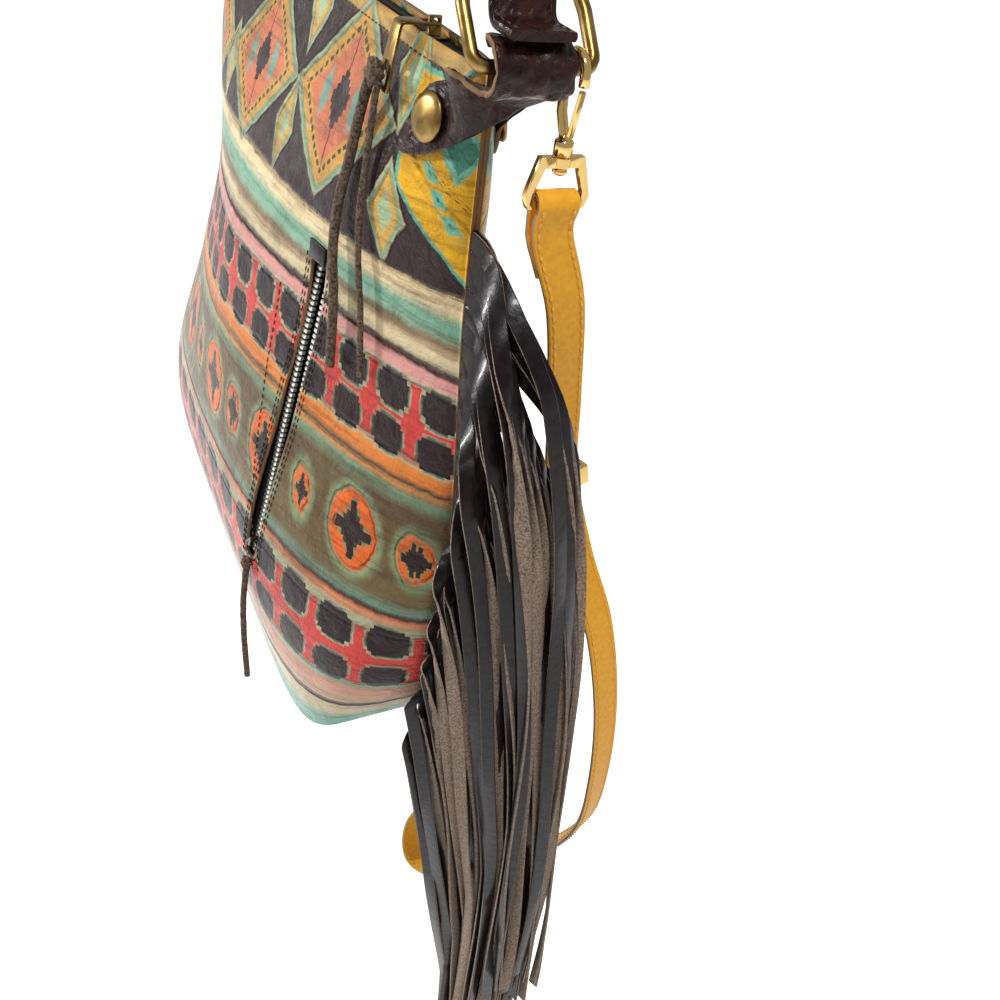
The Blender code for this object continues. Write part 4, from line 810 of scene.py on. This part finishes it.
# The strap's middle line between its folds, from the right loop down and round to the left one
STRAP_LINE = (
    (0.1910, 0.0185, -0.0480), (0.1905, 0.0290, -0.0750), (0.1862, 0.0390, -0.1180),
    (0.1868, 0.0450, -0.1560), (0.1950, 0.0560, -0.1950), (0.2050, 0.0690, -0.2320),
    (0.2123, 0.0790, -0.2800), (0.2150, 0.0850, -0.3320), (0.2050, 0.0930, -0.3900),
    (0.1800, 0.0950, -0.4500), (0.1500, 0.0850, -0.5080), (0.1220, 0.0660, -0.5480),
    (0.0980, 0.0480, -0.5560), (0.0840, 0.0500, -0.5360), (0.0800, 0.0720, -0.5120),
    (0.0640, 0.1000, -0.4700), (0.0300, 0.1150, -0.4100), (-0.0200, 0.1150, -0.3400),
    (-0.0800, 0.1050, -0.2600), (-0.1350, 0.0850, -0.1850), (-0.1750, 0.0520, -0.1150),
    (-0.1895, 0.0280, -0.0750), (-0.1910, 0.0185, -0.0480),
)
LOOP_BAR = Vector((0.190, 0.0175, -0.0360))
BAR_RADIUS = 0.0015
BAR_PLAY = 0.0009
FOLD_RADIUS = BAR_RADIUS + BAR_PLAY + STRAP_THICKNESS / 2
FOLD_LENGTH = 0.026
FOLD_GAP = 0.0006
FOLD_ARC = 165
FOLD_STEPS = 8


def fold_line(end, steps):
    """The folded end of the strap round its loop's bar, from the cut end up and over."""
    bar = Vector((LOOP_BAR.x * end, LOOP_BAR.y, LOOP_BAR.z))
    main = Vector(STRAP_LINE[0] if end > 0 else STRAP_LINE[-1])
    after = Vector(STRAP_LINE[1] if end > 0 else STRAP_LINE[-2])
    start = bar + Vector((FOLD_RADIUS * end, 0, 0))
    line = []
    for k in range(steps):
        share = k / (steps - 1)
        gap = 2 * FOLD_RADIUS + (STRAP_THICKNESS + FOLD_GAP - 2 * FOLD_RADIUS) * (1 - share)
        fall = FOLD_LENGTH * (1 - share)
        knee = (start - main).length
        if fall < knee:
            place = start.lerp(main, fall / knee)
        else:
            place = main.lerp(after, (fall - knee) / (after - main).length)
        line.append(place - Vector((gap * end, 0, 0)))
    for k in range(13):
        angle = math.radians(FOLD_ARC - FOLD_ARC * k / 12)
        line.append(bar + FOLD_RADIUS * Vector((math.cos(angle) * end, 0, math.sin(angle))))
    return line


near = fold_line(1, FOLD_STEPS)
far = list(reversed(fold_line(-1, FOLD_STEPS)))
strap_line = near + smooth_line([near[-1]] + list(STRAP_LINE) + [far[0]], 240)[1:-1] + far
strap_line = [p + TOP_EDGE for p in strap_line]
along_line = []
for k in range(len(strap_line)):
    ahead = strap_line[min(k + 1, len(strap_line) - 1)]
    along_line.append((ahead - strap_line[max(k - 1, 0)]).normalized())
# The width lies front to back in the folds; between them it is carried along with the least turn, and what
# is left over at the far fold is shared out evenly
first, last = len(near) - 1, len(strap_line) - len(far)
flat = Vector((0, 1, 0))
widths = [(flat - flat.dot(t) * t).normalized() for t in along_line]
moved = widths[first].copy()
travelled = {first: moved}
for k in range(first + 1, last + 1):
    moved = along_line[k - 1].rotation_difference(along_line[k]) @ moved
    travelled[k] = (moved - moved.dot(along_line[k]) * along_line[k]).normalized()
goal = widths[last] if travelled[last].dot(widths[last]) > 0 else -widths[last]
left_over = math.atan2(travelled[last].cross(goal).dot(along_line[last]), travelled[last].dot(goal))
for k in range(first, last + 1):
    share = (k - first) / (last - first)
    widths[k] = Matrix.Rotation(left_over * share, 3, along_line[k]) @ travelled[k]
if widths[last].dot(widths[last + 1]) < 0:
    for k in range(last + 1, len(widths)):
        widths[k] = -widths[k]
strap_rows = len(strap_line) - 1


def strap_place_at(u, v):
    """A belt's section: flat faces with eased edges."""
    k = round(v * strap_rows)
    thin = along_line[k].cross(widths[k])
    corner = round(u * 8) % 8
    a = (-1.0, -0.93, 0.93, 1.0, 1.0, 0.93, -0.93, -1.0)[corner] * STRAP_WIDTH / 2
    b = (-0.55, -1.0, -1.0, -0.55, 0.55, 1.0, 1.0, 0.55)[corner] * STRAP_THICKNESS / 2
    return strap_line[k] + widths[k] * a + thin * b


bm = laid_grid(8, strap_rows, strap_place_at, closed=True, capped=True)
uv = bm.loops.layers.uv["surface"]
for face in bm.faces:
    sides = sorted(round(loop[uv].uv.x * 8) % 8 for loop in face.loops)
    face.material_index = 1 if sides in ([3, 3, 4, 4], [0, 0, 7, 7]) else 0
finished("strap_belt", bm, [yellow, strap_edge], "bag", ["strap"])

# Tabs: one strap of dark leather over each end of the mouth. It lies on the front half, rolls round the bar
# of its ring, comes down on the back half, and is riveted through both.

# Glazed leather: dark maroon hide polished under a glass roller; glossy, with fine wrinkles where it bends
maroon_hide, maroon_shader = new_material(
    "glazed_maroon_leather", "#26110f", 0.30, Specular_IOR_Level=0.16, **wax_coat
)
maroon_tones = ((0.3, "#120706"), (0.75, "#3c1f19"))
wrinkles = {"Scale": 150.0, "Detail": 7.0, "Distortion": 1.2}
mottled(maroon_hide, maroon_shader, wrinkles, maroon_tones, (0.8, 0.002))

TAB_LEATHER = 0.0018
RING_BAR = Vector((0.190, 0.0, 0.006))
# The middle and the half width of each section of a leg, from the rivet's end up, and down again
FRONT_LEG = (
    ((0.1385, -0.013, -0.0240), (0.0030, 0.0, 0.0080)),
    ((0.1430, -0.013, -0.0230), (0.0040, 0.0, 0.0125)),
    ((0.1500, -0.0125, -0.0210), (0.0040, 0.0, 0.0135)),
    ((0.1590, -0.0125, -0.0165), (0.0030, -0.0010, 0.0135)),
    ((0.1705, -0.0110, -0.0100), (0.0010, -0.0060, 0.0105)),
    ((0.1815, -0.0040, -0.0040), (0.0, -0.0110, 0.0030)),
)
BACK_LEG = (
    ((0.1815, 0.0030, 0.0110), (0.0, -0.0115, -0.0010)),
    ((0.1720, 0.0095, 0.0020), (0.0010, -0.0060, 0.0090)),
    ((0.1600, 0.0125, -0.0115), (0.0030, -0.0010, 0.0130)),
    ((0.1500, 0.0125, -0.0210), (0.0040, 0.0, 0.0135)),
    ((0.1430, 0.013, -0.0230), (0.0040, 0.0, 0.0125)),
    ((0.1385, 0.013, -0.0240), (0.0030, 0.0, 0.0080)),
)


def panel_depth(x, z):
    """How far forward the front panel's outside is at a place near the top."""
    s = max(-z / BAG_HEIGHT, 0.0)
    c = min(abs(x) / level_value(HALF_WIDTHS, s), 1.0)
    share = max(1.0 - c ** level_value(FACE_POWERS, s), 0.0) ** level_value(TURN_POWERS, s)
    return max(level_value(HALF_DEPTHS, s) * share, SEAM_EDGE)


leg_steps = 44
sections = []
for leg in (FRONT_LEG, BACK_LEG):
    places = smooth_line([c for c, _ in leg], leg_steps)
    spans = smooth_line([h for _, h in leg], leg_steps)
    sections.append(list(zip(places, spans)))
ROLL_RADIUS = 0.0080
ROLL_ARC = 200
ROLL_STEPS = 36
ROLL_HALF = Vector((0, -0.0135, 0))
roll = []
for k in range(ROLL_STEPS + 1):
    angle = math.radians(-ROLL_ARC / 2 + ROLL_ARC * k / ROLL_STEPS)
    roll.append((RING_BAR + ROLL_RADIUS * Vector((math.cos(angle), 0, math.sin(angle))), ROLL_HALF))
tab_sections = sections[0] + roll + sections[1]
tab_rows = len(tab_sections) - 1

# Inside FREE_FROM a leg lies on its panel; over the next FREE_SPAN it comes free of it and crumples
TAB_LIFT = 0.00185
FREE_FROM = 0.158
LIFT_SPAN = 0.010
FREE_SPAN = 0.012
CRUMPLE = 0.0013
for label, end in (("right", 1), ("left", -1)):

    def place(u, v, end=end):
        centre, half = tab_sections[round(v * tab_rows)]
        p = centre + half * (1 - 2 * u)
        if p.x < FREE_FROM + LIFT_SPAN and p.z < -0.001:
            side = 1 if p.y > 0 else -1
            lying = panel_depth(p.x, p.z) + TAB_LIFT
            lifted = min(max((p.x - FREE_FROM) / LIFT_SPAN, 0.0), 1.0)
            p.y = side * max(lying, lying + (abs(p.y) - lying) * lifted)
        free = min(max((p.x - FREE_FROM) / FREE_SPAN, 0.0), 1.0)
        crumple = (noise.noise(p * 190) + 0.6 * noise.noise(p * 420)) * CRUMPLE * free
        p += (p - RING_BAR).normalized() * crumple
        return Vector((p.x * end, p.y, p.z + BAG_TOP))

    bm = laid_grid(28, tab_rows, place)
    if end > 0:
        bmesh.ops.reverse_faces(bm, faces=bm.faces)
    tab = finished(
        f"tab_leather_{label}", bm, [maroon_hide, cut_edge], "bag", [f"tab_{label}"]
    )
    wall = tab.modifiers.new("wall", "SOLIDIFY")
    wall.thickness = TAB_LEATHER
    wall.offset = 0.0
    wall.material_offset_rim = 1

# Handle: a short band of the same maroon leather, stitched along both edges. It stands up in an arch over
# the mouth, and its ends are bent flat and sewn on top of the tabs.

HANDLE_REACH = 0.1824
HANDLE_BASE = 0.0290
HANDLE_PEAK = 0.0966
HANDLE_SQUARE = 0.80
HANDLE_HALF_WIDTH = 0.011
HANDLE_HALF_THICK = 0.0016
ARCH_STEPS = 48
handle_foot = [(0.1990, 0.0168), (0.1920, 0.0169), (0.1870, 0.0172), (0.1842, 0.0190), (0.1828, 0.0230)]
handle_line = [Vector((x, 0.0, z)) for x, z in handle_foot]
for k in range(ARCH_STEPS + 1):
    angle = math.pi * k / ARCH_STEPS
    c, s = math.cos(angle), math.sin(angle)
    x = math.copysign(abs(c) ** HANDLE_SQUARE, c) * HANDLE_REACH
    handle_line.append(Vector((x, 0.0, HANDLE_BASE + (HANDLE_PEAK - HANDLE_BASE) * s**HANDLE_SQUARE)))
handle_line += [Vector((-x, 0.0, z)) for x, z in reversed(handle_foot)]
handle_line = smooth_line(handle_line, 4 * (len(handle_line) - 1))
handle_frames = carried([p + TOP_EDGE for p in handle_line], Vector((0, 1, 0)))
handle_rows = len(handle_line) - 1


def handle_place(u, v):
    """A band's section, slightly domed, with eased edges."""
    centre, wide, thin = handle_frames[round(v * handle_rows)]
    corner = round(u * 12) % 12
    a = (-1.0, -0.96, -0.5, 0.0, 0.5, 0.96, 1.0, 0.96, 0.5, 0.0, -0.5, -0.96)[corner] * HANDLE_HALF_WIDTH
    b = (0.0, -0.8, -1.0, -1.0, -1.0, -0.8, 0.0, 0.8, 1.0, 1.0, 1.0, 0.8)[corner] * HANDLE_HALF_THICK
    return centre + wide * a + thin * b


bm = laid_grid(12, handle_rows, handle_place, closed=True, capped=True)
finished("handle_band", bm, [maroon_hide], "bag", ["top_handle"])

# Zips: black woven tape with bright metal teeth. The mouth's zip is shut between the two halves. The
# pocket's lies behind its slot and stands open above its slider; a patch of dark hide covers its upper end.

# Woven tape: polyester, dyed black, matt
tape_cloth, _ = new_material("woven_zip_tape", "#0c0c0c", 0.9)
# Teeth: stamped, tumbled and nickel-plated, bright with soft highlights
teeth_metal, _ = new_material("polished_nickel_teeth", "#f2efe8", 0.32, 0.85)
for node in ("top_zip_tape_front", "top_zip_tape_back", "front_pocket_bag"):
    from_solid(node, f"{node}_cloth", tape_cloth, "bag", 0)
from_solid("front_zip_end_patch", "zip_end_patch", hide, "bag", 0.0003)

# The pocket zip's own place: its z runs up along the zip and its y into the bag
zip_place = Matrix((
    (0.9749, -0.2226, 0.0000, 0.0900),
    (0.2180, 0.9546, 0.2032, -0.0309),
    (-0.0452, -0.1981, 0.9791, -0.0980 + BAG_TOP),
    (0, 0, 0, 1),
))
ZIP_LENGTH = 0.1573
TAPE_FACE = 0.00483
TAPE_SIZE = (0.0078, 0.0008, ZIP_LENGTH + 0.004, 1.0)
TAPE_ASIDE = 0.0083
TOOTH_PITCH = 0.0027
TOOTH_SIZE = (0.0036, 0.0026, 0.00175, 1.0)
TOOTH_ASIDE = 0.0042
TOOTH_STAGGER = 0.00067
for label, side in (("left", -1), ("right", 1)):
    tape = bmesh.new()
    bmesh.ops.create_cube(tape, size=1.0)
    middle = Matrix.Translation((side * TAPE_ASIDE, TAPE_FACE + TAPE_SIZE[1] / 2, -ZIP_LENGTH / 2))
    bmesh.ops.transform(tape, matrix=zip_place @ middle @ Matrix.Diagonal(TAPE_SIZE), verts=tape.verts)
    for k in range(int(ZIP_LENGTH / TOOTH_PITCH)):
        tooth = bmesh.new()
        bmesh.ops.create_cube(tooth, size=1.0)
        bmesh.ops.bevel(
            tooth, geom=tooth.edges[:], offset=0.16, affect="EDGES", segments=1, profile=0.5, material=-1
        )
        down = -0.0016 - k * TOOTH_PITCH - TOOTH_STAGGER * (side + 1)
        at = Matrix.Translation((side * TOOTH_ASIDE, TAPE_FACE - 0.0002, down))
        bmesh.ops.transform(tooth, matrix=zip_place @ at @ Matrix.Diagonal(TOOTH_SIZE), verts=tooth.verts)
        for face in tooth.faces:
            face.material_index = 1
        joined(tape, tooth)
    node = f"front_zip_tape_{label}"
    finished(f"pocket_tape_{label}", tape, [tape_cloth, teeth_metal], "bag", [node])

# Stitching: waxed thread, sunk a little into the leather. Two rows run down each side of the pocket's zip,
# one along the fold beside it and one along each lip of the mouth. The handle and the strap are sewn along
# both edges.


def stitch_rows(name, material, body, lines, pitch, length, thick):
    """Short round stitches along lines; each line is a list of (point, outward direction)."""
    bm = bmesh.new()
    for line in lines:
        gone, due = 0.0, pitch / 2
        for (a, out_a), (b, _) in zip(line, line[1:]):
            span = (b - a).length
            while span > 0 and gone + span >= due:
                at = a.lerp(b, (due - gone) / span) + out_a * thick * 0.25
                along = (b - a).normalized()
                aside = along.cross(out_a).normalized()
                turn = Matrix((along, aside, along.cross(aside))).transposed().to_4x4()
                size = Matrix.Diagonal((length / 2, thick / 2, thick / 2, 1.0))
                shape = Matrix.Translation(at) @ turn @ size
                bmesh.ops.create_icosphere(bm, subdivisions=1, radius=1.0, matrix=shape)
                due += pitch
            gone += span
    return finished(name, bm, [material], body)


def front_place(x, z):
    """A place on the front panel's outside, below the bag's top edge, with its outward direction."""
    here = Vector((x, -panel_depth(x, z), z + BAG_TOP))
    across = Vector((0.001, -panel_depth(x + 0.001, z) + panel_depth(x, z), 0))
    down = Vector((0, -panel_depth(x, z - 0.001) + panel_depth(x, z), -0.001))
    return here, down.cross(across).normalized()


# Waxed thread: polyester cord pulled through wax, dull; brown on the dark leather, ochre on the strap
dark_thread, _ = new_material("waxed_dark_thread", "#2a1d18", 0.7)
ochre_thread, _ = new_material("ochre_thread", "#f0b850", 0.7)

ZIP_MIDDLE = 0.090
ROWS_TOP = -0.096
ROWS_LENGTH = 0.158
zip_rows = []
for aside in (-0.0098, -0.0078, 0.0078, 0.0098):
    zip_rows.append([front_place(ZIP_MIDDLE + aside, ROWS_TOP - ROWS_LENGTH * k / 60) for k in range(61)])
fold_row = []
for k in range(41):
    t = k / 40
    fold_row.append(front_place(0.061 + 0.014 * t + 0.016 * t**3, -0.119 - 0.119 * t))
zip_rows.append(fold_row)
stitch_rows("zip_stitches", dark_thread, "bag", zip_rows, pitch=0.0036, length=0.0027, thick=0.0007)

MOUTH_REACH = 0.158
MOUTH_DOWN = -0.0062
MOUTH_STEPS = 120
mouth_rows = []
for side in (-1, 1):
    outward = Vector((0, side, 0.15)).normalized()
    row = []
    for k in range(MOUTH_STEPS + 1):
        x = -MOUTH_REACH + 2 * MOUTH_REACH * k / MOUTH_STEPS
        row.append((Vector((x, side * panel_depth(x, MOUTH_DOWN), MOUTH_DOWN + BAG_TOP)), outward))
    mouth_rows.append(row)
stitch_rows("mouth_stitches", dark_thread, "bag", mouth_rows, pitch=0.0040, length=0.0029, thick=0.0007)

handle_seams = []
for aside in (-0.0085, 0.0085):
    for face in (-1, 1):
        seam = [(c + w * aside + t * face * HANDLE_HALF_THICK, t * face) for c, w, t in handle_frames]
        handle_seams.append(seam)
stitch_rows("handle_stitches", dark_thread, "bag", handle_seams, pitch=0.0044, length=0.0030, thick=0.0007)

strap_seams = []
for aside in (-0.0058, 0.0058):
    for face in (-1, 1):
        seam = []
        for k in range(first, last + 1):
            out = along_line[k].cross(widths[k]) * face
            seam.append((strap_line[k] + widths[k] * aside + out * STRAP_THICKNESS / 2, out))
        strap_seams.append(seam)
stitch_rows("strap_stitches", ochre_thread, "bag", strap_seams, pitch=0.0042, length=0.0031, thick=0.0011)

# Floor and light: white paper just below the bag, white to the camera and in the metal, which still shows
# the bag's shadow. Two small lamps, one before the bag on its left and one above, give the leather its
# highlights, and a plain white room fills the shade.

floor = bmesh.new()
bmesh.ops.create_grid(floor, x_segments=1, y_segments=1, size=6.0)
bmesh.ops.translate(floor, verts=floor.verts, vec=(0, 0, cad_low.z - 0.004))
floor_mesh = bpy.data.meshes.new("floor")
floor.to_mesh(floor_mesh)
floor.free()
ground = bpy.data.objects.new("floor", floor_mesh)
bpy.context.scene.collection.objects.link(ground)
PAPER_GLOW = 0.60
paper, paper_shader = new_material("white_paper", "#ffffff", 0.9)
rays = add_node(paper, "ShaderNodeLightPath").outputs
seen = {0: rays["Is Camera Ray"], 1: rays["Is Glossy Ray"]}
seen = add_node(paper, "ShaderNodeMath", seen, operation="MAXIMUM")
seen = {0: seen.outputs[0], 1: rays["Is Transmission Ray"]}
seen = add_node(paper, "ShaderNodeMath", seen, operation="MAXIMUM")
glow = add_node(paper, "ShaderNodeMath", {0: seen.outputs[0], 1: PAPER_GLOW}, operation="MULTIPLY").outputs[0]
white = add_node(paper, "ShaderNodeEmission", {"Color": (1, 1, 1, 1), "Strength": glow})
blend = add_node(paper, "ShaderNodeAddShader", {0: paper_shader.outputs[0], 1: white.outputs[0]})
paper.node_tree.links.new(blend.outputs[0], paper.node_tree.nodes["Material Output"].inputs["Surface"])
floor_mesh.materials.append(paper)

# The room: a plain white wall to the camera, and less light than that on the bag
ROOM_LIGHT = 0.44
world = bpy.data.worlds.new("room")
bpy.context.scene.world = world
world.use_nodes = True
room_nodes = world.node_tree
room_rays = room_nodes.nodes.new("ShaderNodeLightPath")
room_strength = room_nodes.nodes.new("ShaderNodeMapRange")
room_nodes.links.new(room_rays.outputs["Is Camera Ray"], room_strength.inputs["Value"])
room_strength.inputs["To Min"].default_value = ROOM_LIGHT
room_strength.inputs["To Max"].default_value = 1.0
room_nodes.nodes["Background"].inputs["Color"].default_value = (1, 1, 1, 1)
room_nodes.links.new(room_strength.outputs[0], room_nodes.nodes["Background"].inputs["Strength"])
LAMP_AIM = Vector((0.1, 0, -0.3))
for name, place, size, power in (
    ("window", (-0.9, -1.2, 0.35), 0.15, 24.0),
    ("ceiling", (0.7, -0.2, 1.1), 0.16, 13.0),
):
    lamp_data = bpy.data.lights.new(name, "AREA")
    lamp_data.shape = "DISK"
    lamp_data.size = size
    lamp_data.energy = power
    lamp = bpy.data.objects.new(name, lamp_data)
    bpy.context.scene.collection.objects.link(lamp)
    lamp.location = place
    lamp.rotation_euler = (LAMP_AIM - Vector(place)).to_track_quat("-Z", "Y").to_euler()
bpy.context.scene.view_settings.view_transform = "Standard"
